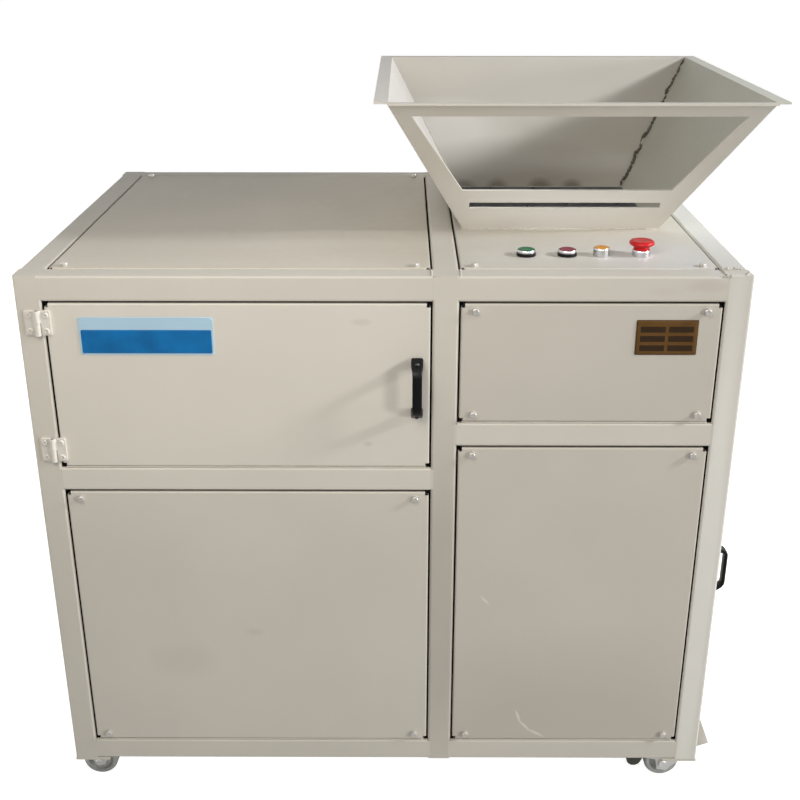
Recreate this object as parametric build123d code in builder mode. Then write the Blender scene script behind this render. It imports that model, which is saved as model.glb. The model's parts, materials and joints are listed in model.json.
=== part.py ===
from build123d import *
import os
from math import acos, cos, degrees, radians, sin, sqrt, tan

# Twin-shaft industrial shredder in a wheeled steel cabinet. Millimetres, +Z up.
# The origin is on the floor under the middle of the cabinet; the front faces -Y.
os.makedirs("parts", exist_ok=True)

# Cabinet
FRAME_W = 1110.0
FRAME_D = 768.0
FRAME_H = 895.0
TUBE = 40.0
TUBE_WALL = 2.5
TUBE_RADIUS = 4.0

# Folded sheet panels and their bolts
SHEET = 1.5
PANEL_DEPTH = 16.0
PANEL_GAP = 3.0
PANEL_BEND = 2.5
NOTCH = 6.0
BOLT_IN_U = 22.0
BOLT_IN_V = 12.0
BOLT_R = 4.0
BOLT_FLATS = 13.0
BOLT_HEAD = 5.3
BOLT_LENGTH = 26.0
TAB_W = 44.0
TAB_H = 34.0
TAB_T = 4.0
TRAY_T = 2.0
HOLE_PLAY = 0.5
FIT = 0.05
RUN = 0.4

# Hopper, measured on its inner faces; the share is of the free depth, in front of the chamber
THROAT_W = 330.0
THROAT_MARGIN = 20.0
BEARING_ROOM = 50.0
THROAT_SHARE = 0.6856
HOPPER_RISE = 237.0
LEAN_FRONT = 171.0
LEAN_REAR = 106.0
LEAN_SIDE = 128.0
PLATE = 3.0
RIM = 22.0
RIM_FRONT = 15.0
WINDOW_LOW = 99.0
WINDOW_HIGH = 266.0
WINDOW_MARGIN = 36.0
WINDOW_TOP_MARGIN = 24.0
SLOT_LOW = 56.0
SLOT_H = 14.0
SLOT_SIDE = 30.0

# Cutting chamber and rotors
GEAR_MODULE = 7.0
GEAR_TEETH = 20
GEAR_W = 35.0
CUTTERS = 8
HOOKS = 5
SPACER_R = 45.0
HEX_FLATS = 62.0
JOURNAL_R = 25.0
CHAMBER_T = 12.0
CUT_CLEAR = 3.0
WALL_CLEAR = 8.0
SUMP = 22.0
HOUSING_R = 58.0
HOUSING_T = 28.0

# Drive and control box; the shares are of the left bay's width, the frame's depth, the bay's height
GEARBOX_H = 181.0
GEARBOX_R = 88.0
GEARBOX_SHARE = 0.254
MOTOR_R = 78.0
MOTOR_SHARE = 0.305
COWL_SHARE = 0.088
COUPLING_L = 64.0
COUPLING_R = 46.0
DRIVE_PLATE = 12.0
BOX_SHARES = (0.51, 0.26, 0.8)
BOX_LEFT_SHARE = 0.1
BOX_DOOR = 12.0

# Door, hinges and handles
HINGE_H = 40.0
HINGE_W = 20.0
HINGE_LEAF = 4.0
HINGE_OUT = 5.5
HINGE_SET = 8.0
HINGE_IN = 33.0
KNUCKLE_R = 4.5
HANDLE_L = 102.0
HANDLE_W = 19.0
HANDLE_H = 30.0
HANDLE_GRIP = 6.0
HANDLE_EDGE = 23.0
SIDE_HANDLE_Z = 358.0

# Collection bin
BIN_PLAY = 8.0
BIN_WALL = 2.0
BIN_TOP_GAP = 14.0
LIP_OUT = 33.5
LIP_RISE = 82.0
LIP_DROP = 4.0
LIP_RETURN = (19.0, 7.0)
LIP_HEM = 5.0
LIP_SHEET = 2.0
RUNNER = 30.0
RUNNER_T = 3.0

# Push-buttons on the top right cover: distance from the front, and shares of the cover's bay
BUTTON_SET = 118.0
BUTTON_SHARES = (0.275, 0.4375, 0.5725, 0.73)
BEZEL_R = (14.7, 14.7, 13.2, 14.6)
BEZEL_H = (10.0, 10.0, 13.0, 10.0)
BARREL_R = 11.0
BARREL_L = 28.0
BEZEL_LIP = 2.0
STEM_R = 8.6
PRESS = 4.0
MUSHROOM_R = 20.0
MUSHROOM_FLARE = 5.0
MUSHROOM_EDGE = 2.4
MUSHROOM_DOME = 3.6
MUSHROOM_FLAT = 11.0

# Casters
CASTER_H = 86.0
PAD_W = 60.0
PAD_L = 108.0
PAD_T = 5.0
CASTER_IN = 24.0
CASTER_SET = 72.0
CASTER_PLATE_W = 48.0
CASTER_PLATE_L = 70.0
WHEEL_R = 31.5
WHEEL_W = 26.0
AXLE_R = 4.0
FORK_T = 2.5
TRAIL = 21.0
KING_R = 5.0

# Derived places
BASE_Z = CASTER_H
TOP_Z = BASE_Z + FRAME_H
LEFT = -FRAME_W / 2
RIGHT = FRAME_W / 2
FRONT = -FRAME_D / 2
REAR = FRAME_D / 2
IN_L = LEFT + TUBE
IN_R = RIGHT - TUBE
POST_R = IN_R - BEARING_ROOM - THROAT_W - THROAT_MARGIN
POST_L = POST_R - TUBE
CENTRE_POST_X = POST_R - TUBE / 2
LEFT_BAY = POST_L - IN_L
RIGHT_BAY = IN_R - POST_R
IN_F = FRONT + TUBE
IN_B = REAR - TUBE
LOW = BASE_Z + TUBE
HIGH = TOP_Z - TUBE

SHAFT_PITCH = GEAR_MODULE * GEAR_TEETH
GEAR_TIP = SHAFT_PITCH / 2 + GEAR_MODULE
CUTTER_R = SHAFT_PITCH - SPACER_R - CUT_CLEAR
SHAFT_Z = TOP_Z - TUBE - GEAR_TIP - 8
CHAMBER_Z = SHAFT_Z - CUTTER_R - SUMP
THROAT_D = SHAFT_PITCH + 2 * CUTTER_R + 2 * WALL_CLEAR
X0 = POST_R + THROAT_MARGIN
X1 = X0 + THROAT_W
Y0 = FRONT + CHAMBER_T + THROAT_SHARE * (FRAME_D - THROAT_D - 2 * CHAMBER_T)
Y1 = Y0 + THROAT_D
SHAFT_YA = (Y0 + Y1 - SHAFT_PITCH) / 2
SHAFT_YB = SHAFT_YA + SHAFT_PITCH
RIM_Z = TOP_Z + HOPPER_RISE
RIGHT_RAIL = CHAMBER_Z - TUBE / 2
LEFT_RAIL = SHAFT_Z - GEARBOX_H - DRIVE_PLATE - TUBE / 2
HOUSING_L = X0 - CHAMBER_T - HOUSING_T
GEAR_X = HOUSING_L - 4 - GEAR_W
COUPLING_X = GEAR_X - 6 - COUPLING_L
GEARBOX_X = COUPLING_X - RUN - 25
GEARBOX_L = GEARBOX_SHARE * LEFT_BAY
MOTOR_L = MOTOR_SHARE * LEFT_BAY
COWL_L = COWL_SHARE * LEFT_BAY
MOTOR_X = GEARBOX_X - GEARBOX_L - 16

FRONT_FACE = Plane(origin=(0, FRONT, 0), x_dir=(1, 0, 0), z_dir=(0, -1, 0))
REAR_FACE = Plane(origin=(0, REAR, 0), x_dir=(-1, 0, 0), z_dir=(0, 1, 0))
LEFT_FACE = Plane(origin=(LEFT, 0, 0), x_dir=(0, -1, 0), z_dir=(-1, 0, 0))
RIGHT_FACE = Plane(origin=(RIGHT, 0, 0), x_dir=(0, 1, 0), z_dir=(1, 0, 0))
TOP_FACE = Plane.XY.offset(TOP_Z)


class Bay:
    """One rectangular opening of the frame, in the coordinates of an outer face."""

    def __init__(self, face, u0, u1, v0, v1):
        middle = face.from_local_coords(((u0 + u1) / 2, (v0 + v1) / 2, 0))
        self.plane = Plane(origin=middle, x_dir=face.x_dir, z_dir=face.z_dir)
        self.w = u1 - u0
        self.h = v1 - v0
        du = self.w / 2 - PANEL_GAP - BOLT_IN_U
        dv = self.h / 2 - PANEL_GAP - BOLT_IN_V
        self.bolts = [(-du, -dv), (du, -dv), (-du, dv), (du, dv)]


TOP_LEFT = Bay(TOP_FACE, IN_L, POST_L, IN_F, IN_B)
TOP_RIGHT = Bay(TOP_FACE, POST_R, IN_R, IN_F, IN_B)
DOOR_BAY = Bay(FRONT_FACE, IN_L, POST_L, LEFT_RAIL + TUBE / 2, HIGH)
LOWER_LEFT = Bay(FRONT_FACE, IN_L, POST_L, LOW, LEFT_RAIL - TUBE / 2)
UPPER_RIGHT = Bay(FRONT_FACE, POST_R, IN_R, CHAMBER_Z, HIGH)
LOWER_RIGHT = Bay(FRONT_FACE, POST_R, IN_R, LOW, RIGHT_RAIL - TUBE / 2)
LEFT_SIDE = Bay(LEFT_FACE, -IN_B, -IN_F, LOW, HIGH)
RIGHT_SIDE = Bay(RIGHT_FACE, IN_F, IN_B, CHAMBER_Z, HIGH)
BIN_BAY = Bay(RIGHT_FACE, IN_F, IN_B, LOW, RIGHT_RAIL - TUBE / 2)
REAR_BAYS = (
    Bay(REAR_FACE, -POST_L, -IN_L, LOW, LEFT_RAIL - TUBE / 2),
    Bay(REAR_FACE, -POST_L, -IN_L, LEFT_RAIL + TUBE / 2, HIGH),
    Bay(REAR_FACE, -IN_R, -POST_R, LOW, RIGHT_RAIL - TUBE / 2),
    Bay(REAR_FACE, -IN_R, -POST_R, CHAMBER_Z, HIGH),
)
BOLTED = (
    TOP_LEFT,
    TOP_RIGHT,
    LOWER_LEFT,
    UPPER_RIGHT,
    LOWER_RIGHT,
    LEFT_SIDE,
    RIGHT_SIDE,
) + REAR_BAYS


def finish(piece, name):
    """Labels a finished piece and writes it to its own STEP file."""
    piece.part.label = name
    export_step(piece.part, f"parts/{name}.step")


def tubes(plane, centres, length):
    """Square tubes with round corners, drawn from a plane at each centre."""
    with BuildPart() as run:
        with BuildSketch(plane):
            with Locations(*centres):
                RectangleRounded(TUBE, TUBE, TUBE_RADIUS)
                Rectangle(TUBE - 2 * TUBE_WALL, TUBE - 2 * TUBE_WALL, mode=Mode.SUBTRACT)
        extrude(amount=length)
    return run.part


def folded(bay, holes, radius):
    """A folded sheet panel, flush with the frame, with notched corners and round holes."""
    w = bay.w - 2 * PANEL_GAP
    h = bay.h - 2 * PANEL_GAP
    with BuildPart() as pan:
        with BuildSketch(bay.plane):
            Rectangle(w, h)
        extrude(amount=-PANEL_DEPTH)
        fillet(pan.faces().sort_by(Axis(bay.plane.origin, bay.plane.z_dir))[-1].edges(), PANEL_BEND)
        with BuildSketch(bay.plane.offset(-SHEET)):
            Rectangle(w - 2 * SHEET, h - 2 * SHEET)
        extrude(amount=SHEET - PANEL_DEPTH, mode=Mode.SUBTRACT)
        with BuildSketch(bay.plane):
            with GridLocations(w, h, 2, 2):
                Rectangle(2 * NOTCH, 2 * NOTCH)
            if holes:
                with Locations(*holes):
                    Circle(radius)
        extrude(amount=-PANEL_DEPTH, mode=Mode.SUBTRACT)
    return pan.part


# Frame
POSTS = [(x, y) for x in (LEFT + TUBE / 2, CENTRE_POST_X, RIGHT - TUBE / 2)
         for y in (FRONT + TUBE / 2, REAR - TUBE / 2)]
with BuildPart() as frame_posts:
    add(tubes(Plane.XY.offset(BASE_Z), POSTS, FRAME_H))
    for z in (BASE_Z, TOP_Z - TUBE_WALL):
        with BuildSketch(Plane.XY.offset(z)):
            with Locations(*POSTS):
                RectangleRounded(TUBE, TUBE, TUBE_RADIUS)
        extrude(amount=TUBE_WALL)
finish(frame_posts, "frame_posts")


def ring_of_rails(z):
    """The seven rails at one height, between the posts."""
    lengthwise = [(FRONT + TUBE / 2, z), (REAR - TUBE / 2, z)]
    cross = [(x, z) for x in (LEFT + TUBE / 2, CENTRE_POST_X, RIGHT - TUBE / 2)]
    with BuildPart() as rails:
        add(tubes(Plane.YZ.offset(IN_L), lengthwise, POST_L - IN_L))
        add(tubes(Plane.YZ.offset(POST_R), lengthwise, IN_R - POST_R))
        add(tubes(Plane.XZ.offset(-IN_B), cross, IN_B - IN_F))
    return rails


frame_top_rails = ring_of_rails(TOP_Z - TUBE / 2)
finish(frame_top_rails, "frame_top_rails")

frame_base_rails = ring_of_rails(BASE_Z + TUBE / 2)
finish(frame_base_rails, "frame_base_rails")

with BuildPart() as frame_mid_rails:
    left_pair = [(FRONT + TUBE / 2, LEFT_RAIL), (REAR - TUBE / 2, LEFT_RAIL)]
    right_pair = [(FRONT + TUBE / 2, RIGHT_RAIL), (REAR - TUBE / 2, RIGHT_RAIL)]
    add(tubes(Plane.YZ.offset(IN_L), left_pair, POST_L - IN_L))
    add(tubes(Plane.YZ.offset(POST_R), right_pair, IN_R - POST_R))
    cross_pair = [(CENTRE_POST_X, RIGHT_RAIL), (RIGHT - TUBE / 2, RIGHT_RAIL)]
    add(tubes(Plane.XZ.offset(-IN_B), cross_pair, IN_B - IN_F))
finish(frame_mid_rails, "frame_mid_rails")

BEARER_Y = [Y0 - CHAMBER_T / 2, Y1 + CHAMBER_T / 2]
BEARER_X = [GEARBOX_X - 40, MOTOR_X - MOTOR_L + 40]
with BuildPart() as frame_bearers:
    add(tubes(Plane.YZ.offset(POST_R), [(y, RIGHT_RAIL) for y in BEARER_Y], IN_R - POST_R))
    add(tubes(Plane.XZ.offset(-IN_B), [(x, LEFT_RAIL) for x in BEARER_X], IN_B - IN_F))
finish(frame_bearers, "frame_bearers")

with BuildPart() as caster_pads:
    with BuildSketch(Plane.XY.offset(BASE_Z - PAD_T)):
        with GridLocations(FRAME_W - PAD_W, FRAME_D - PAD_L, 2, 2):
            Rectangle(PAD_W, PAD_L)
    extrude(amount=PAD_T)
finish(caster_pads, "caster_pads")

with BuildPart() as panel_tabs:
    for bay in BOLTED:
        with BuildSketch(bay.plane.offset(-PANEL_DEPTH)):
            with GridLocations(bay.w - TAB_W, bay.h - TAB_H, 2, 2):
                Rectangle(TAB_W, TAB_H)
            with Locations(*bay.bolts):
                Circle(BOLT_R + FIT, mode=Mode.SUBTRACT)
        extrude(amount=-TAB_T)
finish(panel_tabs, "panel_tabs")

with BuildPart() as panel_bolts:
    for bay in BOLTED:
        with BuildSketch(bay.plane):
            with Locations(*bay.bolts):
                RegularPolygon(BOLT_FLATS / 2, 6, major_radius=False)
        extrude(amount=BOLT_HEAD)
        with BuildSketch(bay.plane):
            with Locations(*bay.bolts):
                Circle(BOLT_R)
        extrude(amount=-BOLT_LENGTH)
finish(panel_bolts, "panel_bolts")

# Panels
HOLE = BOLT_R + HOLE_PLAY
with BuildPart() as top_left_cover:
    add(folded(TOP_LEFT, TOP_LEFT.bolts, HOLE))
finish(top_left_cover, "top_left_cover")

BUTTONS = [(POST_R + s * RIGHT_BAY, FRONT + BUTTON_SET) for s in BUTTON_SHARES]
with BuildPart() as top_right_cover:
    add(folded(TOP_RIGHT, TOP_RIGHT.bolts, HOLE))
    with BuildSketch(TOP_FACE):
        with Locations(((X0 + X1) / 2, (Y0 + Y1) / 2)):
            Rectangle(THROAT_W, THROAT_D)
        with Locations(*BUTTONS):
            Circle(BARREL_R + HOLE_PLAY)
    extrude(amount=-PANEL_DEPTH, mode=Mode.SUBTRACT)
finish(top_right_cover, "top_right_cover")

with BuildPart() as front_lower_left_panel:
    add(folded(LOWER_LEFT, LOWER_LEFT.bolts, HOLE))
finish(front_lower_left_panel, "front_lower_left_panel")

with BuildPart() as front_lower_right_panel:
    add(folded(LOWER_RIGHT, LOWER_RIGHT.bolts, HOLE))
finish(front_lower_right_panel, "front_lower_right_panel")

with BuildPart() as front_upper_right_panel:
    add(folded(UPPER_RIGHT, UPPER_RIGHT.bolts, HOLE))
finish(front_upper_right_panel, "front_upper_right_panel")

with BuildPart() as side_panels:
    add(folded(LEFT_SIDE, LEFT_SIDE.bolts, HOLE))
    add(folded(RIGHT_SIDE, RIGHT_SIDE.bolts, HOLE))
finish(side_panels, "side_panels")

with BuildPart() as rear_panels:
    for bay in REAR_BAYS:
        add(folded(bay, bay.bolts, HOLE))
finish(rear_panels, "rear_panels")

with BuildPart() as base_tray:
    with BuildSketch(Plane.XY.offset(LOW)):
        with Locations(((IN_L + POST_L) / 2, 0)):
            Rectangle(LEFT_BAY - 2, FRAME_D - 2 * (PANEL_DEPTH + TAB_T) - 4)
    extrude(amount=TRAY_T)
finish(base_tray, "base_tray")


# Hopper: four plates that meet along their inner corner lines
def hopper_wall(corners, rim_corners, cuts):
    """One leaning plate with a turned-out rim; corners run anticlockwise seen from outside."""
    low_a, low_b, high_b, high_a = [Vector(*c) for c in corners]
    along = (low_b - low_a).normalized()
    middle = (low_a + low_b) * 0.5
    up = high_a - low_a
    up = (up - along * up.dot(along)).normalized()
    face = Plane(origin=middle, x_dir=along, z_dir=along.cross(up))
    outline = [face.to_local_coords(v) for v in (low_a, low_b, high_b, high_a)]
    with BuildPart() as wall:
        with BuildSketch(face):
            with BuildLine():
                Polyline(*[(p.X, p.Y) for p in outline], close=True)
            make_face()
        extrude(amount=PLATE)
        with BuildSketch(Plane.XY.offset(RIM_Z)):
            with BuildLine():
                Polyline(*rim_corners, close=True)
            make_face()
        extrude(amount=-PLATE)
        split(bisect_by=Plane.XY.offset(TOP_Z), keep=Keep.TOP)
        for cut in cuts:
            with BuildSketch(face):
                with BuildLine():
                    Polyline(*cut, close=True)
                make_face()
            extrude(amount=4 * PLATE, both=True, mode=Mode.SUBTRACT)
    return wall


RX0 = X0 - LEAN_SIDE
RX1 = X1 + LEAN_SIDE
RY0 = Y0 - LEAN_FRONT
RY1 = Y1 + LEAN_REAR
LOW_FL = (X0, Y0, TOP_Z)
LOW_FR = (X1, Y0, TOP_Z)
LOW_RL = (X0, Y1, TOP_Z)
LOW_RR = (X1, Y1, TOP_Z)
RIM_FL = (RX0, RY0, RIM_Z)
RIM_FR = (RX1, RY0, RIM_Z)
RIM_RL = (RX0, RY1, RIM_Z)
RIM_RR = (RX1, RY1, RIM_Z)
# The rim's front corners are left open; its rear corners are mitred
END_FL = (RX0, RY0 - RIM_FRONT)
END_FR = (RX1, RY0 - RIM_FRONT)
OUT_FL = (RX0 - RIM, RY0)
OUT_FR = (RX1 + RIM, RY0)
OUT_RL = (RX0 - RIM, RY1 + RIM)
OUT_RR = (RX1 + RIM, RY1 + RIM)

SLANT = sqrt(LEAN_FRONT**2 + HOPPER_RISE**2)


def half_width(s):
    """Half the front plate's width at a distance s up its slope."""
    return THROAT_W / 2 + LEAN_SIDE * s / SLANT


WIN_A = half_width(WINDOW_LOW) - WINDOW_MARGIN
WIN_B = half_width(WINDOW_HIGH) - WINDOW_TOP_MARGIN
WINDOW = [(-WIN_A, WINDOW_LOW), (WIN_A, WINDOW_LOW), (WIN_B, WINDOW_HIGH), (-WIN_B, WINDOW_HIGH)]
SLOT_A = half_width(SLOT_LOW) - SLOT_SIDE
SLOT_HIGH = SLOT_LOW + SLOT_H
FEED_SLOT = [(-SLOT_A, SLOT_LOW), (SLOT_A, SLOT_LOW), (SLOT_A, SLOT_HIGH), (-SLOT_A, SLOT_HIGH)]

hopper_front_wall = hopper_wall(
    (LOW_FL, LOW_FR, RIM_FR, RIM_FL),
    (RIM_FL[:2], RIM_FR[:2], END_FR, END_FL),
    (WINDOW, FEED_SLOT),
)
finish(hopper_front_wall, "hopper_front_wall")

hopper_rear_wall = hopper_wall(
    (LOW_RR, LOW_RL, RIM_RL, RIM_RR), (RIM_RR[:2], RIM_RL[:2], OUT_RL, OUT_RR), ()
)
finish(hopper_rear_wall, "hopper_rear_wall")

hopper_left_wall = hopper_wall(
    (LOW_RL, LOW_FL, RIM_FL, RIM_RL), (RIM_RL[:2], RIM_FL[:2], OUT_FL, OUT_RL), ()
)
finish(hopper_left_wall, "hopper_left_wall")

hopper_right_wall = hopper_wall(
    (LOW_FR, LOW_RR, RIM_RR, RIM_FR), (RIM_FR[:2], RIM_RR[:2], OUT_RR, OUT_FR), ()
)
finish(hopper_right_wall, "hopper_right_wall")

# Push-buttons
CAP_Z = 1 + PRESS + RUN


def cap_radius(radius):
    """The radius of the cap that runs inside a bezel's lip."""
    return radius - BEZEL_LIP - RUN


def bezel(place, radius, height):
    """A metal bezel on the cover with its threaded barrel below, bored for cap and stem."""
    with BuildPart() as ring:
        with BuildSketch(TOP_FACE):
            with Locations(place):
                Circle(radius)
        extrude(amount=height)
        fillet(ring.edges().filter_by(GeomType.CIRCLE).sort_by(Axis.Z)[-1], 1.2)
        with BuildSketch(TOP_FACE):
            with Locations(place):
                Circle(BARREL_R)
        extrude(amount=-BARREL_L)
        with BuildSketch(TOP_FACE.offset(height)):
            with Locations(place):
                Circle(radius - BEZEL_LIP)
        extrude(amount=1 - height, mode=Mode.SUBTRACT)
        with BuildSketch(TOP_FACE.offset(1)):
            with Locations(place):
                Circle(STEM_R + RUN)
        extrude(amount=-BARREL_L - 1, mode=Mode.SUBTRACT)
    return ring.part


with BuildPart() as button_bezels:
    for place, radius, height in zip(BUTTONS, BEZEL_R, BEZEL_H):
        add(bezel(place, radius, height))
finish(button_bezels, "button_bezels")

with BuildPart() as contact_blocks:
    with BuildSketch(TOP_FACE.offset(-BARREL_L)):
        with Locations(*BUTTONS):
            Rectangle(30, 40)
    extrude(amount=-42)
finish(contact_blocks, "contact_blocks")


STEM_LOW = CAP_Z + 4 - BARREL_L


def push_button(place, radius, height, crown):
    """A round button head with a stem that runs down inside its barrel."""
    with BuildPart() as button:
        with BuildSketch(TOP_FACE.offset(CAP_Z)):
            with Locations(place):
                Circle(cap_radius(radius))
        extrude(amount=height + crown - CAP_Z)
        fillet(button.edges().filter_by(GeomType.CIRCLE).sort_by(Axis.Z)[-1], 1.2)
        with BuildSketch(TOP_FACE.offset(CAP_Z)):
            with Locations(place):
                Circle(STEM_R)
        extrude(amount=STEM_LOW - CAP_Z)
    return button


start_button = push_button(BUTTONS[0], BEZEL_R[0], BEZEL_H[0], -0.4)
finish(start_button, "start_button")

stop_button = push_button(BUTTONS[1], BEZEL_R[1], BEZEL_H[1], -0.4)
finish(stop_button, "stop_button")

reverse_button = push_button(BUTTONS[2], BEZEL_R[2], BEZEL_H[2], -0.2)
finish(reverse_button, "reverse_button")

# The mushroom head: a neck in the bezel's lip, a flared underside and a low dome
NECK_R = cap_radius(BEZEL_R[3])
FLARE_Z = BEZEL_H[3] + PRESS + RUN
EDGE_Z = FLARE_Z + MUSHROOM_FLARE
DOME_Z = EDGE_Z + MUSHROOM_EDGE
CROWN_TOP = DOME_Z + MUSHROOM_DOME
with BuildPart() as emergency_stop:
    with BuildSketch(Plane(origin=(*BUTTONS[3], TOP_Z), x_dir=(1, 0, 0), z_dir=(0, -1, 0))):
        with BuildLine():
            Polyline((0, CROWN_TOP), (0, STEM_LOW), (STEM_R, STEM_LOW), (STEM_R, CAP_Z), (NECK_R, CAP_Z))
            Polyline((NECK_R, CAP_Z), (NECK_R, FLARE_Z), (MUSHROOM_R, EDGE_Z), (MUSHROOM_R, DOME_Z))
            ThreePointArc((MUSHROOM_R, DOME_Z), (0.88 * MUSHROOM_R, CROWN_TOP - 1), (MUSHROOM_FLAT, CROWN_TOP))
            Line((MUSHROOM_FLAT, CROWN_TOP), (0, CROWN_TOP))
        make_face()
    revolve(axis=Axis((*BUTTONS[3], TOP_Z), (0, 0, 1)))
finish(emergency_stop, "emergency_stop")

# Cutting chamber
SHAFTS = [(SHAFT_YA, SHAFT_Z), (SHAFT_YB, SHAFT_Z)]
CHAMBER_TOP = TOP_Z - SHEET - RUN
with BuildPart() as chamber_end_plates:
    for x in (X0 - CHAMBER_T, X1):
        with BuildSketch(Plane.YZ.offset(x)):
            with Locations(((Y0 + Y1) / 2, (CHAMBER_Z + CHAMBER_TOP) / 2)):
                Rectangle(THROAT_D + 2 * CHAMBER_T, CHAMBER_TOP - CHAMBER_Z)
            with Locations(*SHAFTS):
                Circle(JOURNAL_R + 1, mode=Mode.SUBTRACT)
        extrude(amount=CHAMBER_T)
finish(chamber_end_plates, "chamber_end_plates")

with BuildPart() as chamber_side_plates:
    with BuildSketch(Plane.XY.offset(CHAMBER_Z)):
        with Locations(((X0 + X1) / 2, (Y0 + Y1) / 2)):
            with GridLocations(0, THROAT_D + CHAMBER_T, 1, 2):
                Rectangle(THROAT_W, CHAMBER_T)
    extrude(amount=CHAMBER_TOP - CHAMBER_Z)
finish(chamber_side_plates, "chamber_side_plates")

PITCH = THROAT_W / (2 * CUTTERS)
DISC = PITCH - 2 * RUN
COMB_R = SPACER_R + CUT_CLEAR
COMB_H = 60.0
with BuildPart() as comb_fingers:
    for y_wall, y_shaft, odd in ((Y0, SHAFT_YA, 1), (Y1, SHAFT_YB, 0)):
        for i in range(CUTTERS):
            with BuildSketch(Plane.YZ.offset(X0 + (2 * i + odd) * PITCH + RUN)):
                with Locations((y_wall + 0.4 * (y_shaft - y_wall), SHAFT_Z)):
                    Rectangle(0.8 * abs(y_shaft - y_wall), COMB_H)
                with Locations((y_shaft, SHAFT_Z)):
                    Circle(COMB_R, mode=Mode.SUBTRACT)
            extrude(amount=DISC)
finish(comb_fingers, "comb_fingers")

with BuildPart() as bearing_housings:
    for x in (HOUSING_L, X1 + CHAMBER_T):
        with BuildSketch(Plane.YZ.offset(x)):
            with Locations(*SHAFTS):
                RectangleRounded(2 * HOUSING_R, 2 * HOUSING_R, 30)
                Circle(JOURNAL_R + FIT, mode=Mode.SUBTRACT)
        extrude(amount=HOUSING_T)
finish(bearing_housings, "bearing_housings")


def rotor_shaft(y, left_end):
    """A hexagon bar in the chamber with round journals at both ends."""
    right_end = X1 + CHAMBER_T + HOUSING_T - 2
    with BuildPart() as shaft:
        with BuildSketch(Plane.YZ.offset(left_end)):
            with Locations((y, SHAFT_Z)):
                Circle(JOURNAL_R)
        extrude(amount=right_end - left_end)
        with BuildSketch(Plane.YZ.offset(X0 + RUN)):
            with Locations((y, SHAFT_Z)):
                RegularPolygon(HEX_FLATS / 2, 6, major_radius=False)
        extrude(amount=THROAT_W - 2 * RUN)
    return shaft


front_shaft = rotor_shaft(SHAFT_YA, COUPLING_X + COUPLING_L / 2)
finish(front_shaft, "front_shaft")

rear_shaft = rotor_shaft(SHAFT_YB, GEAR_X - 4)
finish(rear_shaft, "rear_shaft")

HOOK_STEP = 360 / HOOKS
HOOK_ROOT = CUTTER_R - 15


def polar(radius, angle):
    """A point at a radius and an angle in degrees."""
    return (radius * cos(radians(angle)), radius * sin(radians(angle)))


def rotor_cutters(y, first, turn):
    """Hooked discs and round spacers in turn along a shaft; turn is +1 or -1."""
    with BuildPart() as stack:
        for i in range(2 * CUTTERS):
            x = X0 + i * PITCH + RUN
            spot = Plane(origin=(x, y, SHAFT_Z), x_dir=(0, turn, 0), z_dir=(turn, 0, 0))
            phase = i * HOOK_STEP / 8
            with BuildSketch(spot):
                if i % 2 == first:
                    with BuildLine():
                        for k in range(HOOKS):
                            a = phase + k * HOOK_STEP
                            tip = polar(CUTTER_R, a)
                            heel = polar(HOOK_ROOT, a + HOOK_STEP - 6)
                            bow = polar(CUTTER_R - 3, a + HOOK_STEP * 0.45)
                            ThreePointArc(tip, bow, heel)
                            Line(heel, polar(CUTTER_R, a + HOOK_STEP))
                    make_face()
                else:
                    Circle(SPACER_R)
                RegularPolygon(HEX_FLATS / 2 + FIT, 6, major_radius=False, mode=Mode.SUBTRACT)
            extrude(amount=turn * DISC)
    return stack


front_cutters = rotor_cutters(SHAFT_YA, 0, 1)
finish(front_cutters, "front_cutters")

rear_cutters = rotor_cutters(SHAFT_YB, 1, -1)
finish(rear_cutters, "rear_cutters")

# Synchronising gears: involute teeth thinned for backlash
PITCH_R = SHAFT_PITCH / 2
BASE_R = PITCH_R * cos(radians(20))
ROOT_R = PITCH_R - 1.25 * GEAR_MODULE
HALF_TOOTH = 90 / GEAR_TEETH - 0.35


def involute(radius):
    """Half the tooth's angle in degrees at a radius, from the involute of the base circle."""
    def roll(r):
        angle = acos(min(1.0, BASE_R / r))
        return degrees(tan(angle) - angle)
    return HALF_TOOTH + roll(PITCH_R) - roll(max(radius, BASE_R))


def spur_gear(y, offset):
    """One spur gear on its shaft, with one tooth at the given angle."""
    tip_r = PITCH_R + 0.95 * GEAR_MODULE
    radii = [ROOT_R, BASE_R, (BASE_R + PITCH_R) / 2, PITCH_R, (PITCH_R + tip_r) / 2, tip_r]
    points = []
    for k in range(GEAR_TEETH):
        a = offset + k * 360 / GEAR_TEETH
        points += [polar(r, a - involute(r)) for r in radii]
        points += [polar(r, a + involute(r)) for r in reversed(radii)]
    with BuildPart() as gear:
        with BuildSketch(Plane.YZ.offset(GEAR_X)):
            with Locations((y, SHAFT_Z)):
                Polygon(*points, align=None)
                Circle(JOURNAL_R + FIT, mode=Mode.SUBTRACT)
        extrude(amount=GEAR_W)
    return gear


front_gear = spur_gear(SHAFT_YA, 0)
finish(front_gear, "front_gear")

rear_gear = spur_gear(SHAFT_YB, 180 / GEAR_TEETH)
finish(rear_gear, "rear_gear")

# Drive line
with BuildPart() as drive_coupling:
    for start, length, radius in (
        (COUPLING_X, COUPLING_L, COUPLING_R * 0.72),
        (COUPLING_X + COUPLING_L / 2 - 13, 12, COUPLING_R),
        (COUPLING_X + COUPLING_L / 2 + 1, 12, COUPLING_R),
    ):
        with BuildSketch(Plane.YZ.offset(start)):
            with Locations((SHAFT_YA, SHAFT_Z)):
                Circle(radius)
        extrude(amount=length)
    with BuildSketch(Plane.YZ.offset(COUPLING_X + COUPLING_L / 2 - FIT)):
        with Locations((SHAFT_YA, SHAFT_Z)):
            Circle(JOURNAL_R + FIT)
    extrude(amount=COUPLING_L, mode=Mode.SUBTRACT)
finish(drive_coupling, "drive_coupling")

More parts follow.
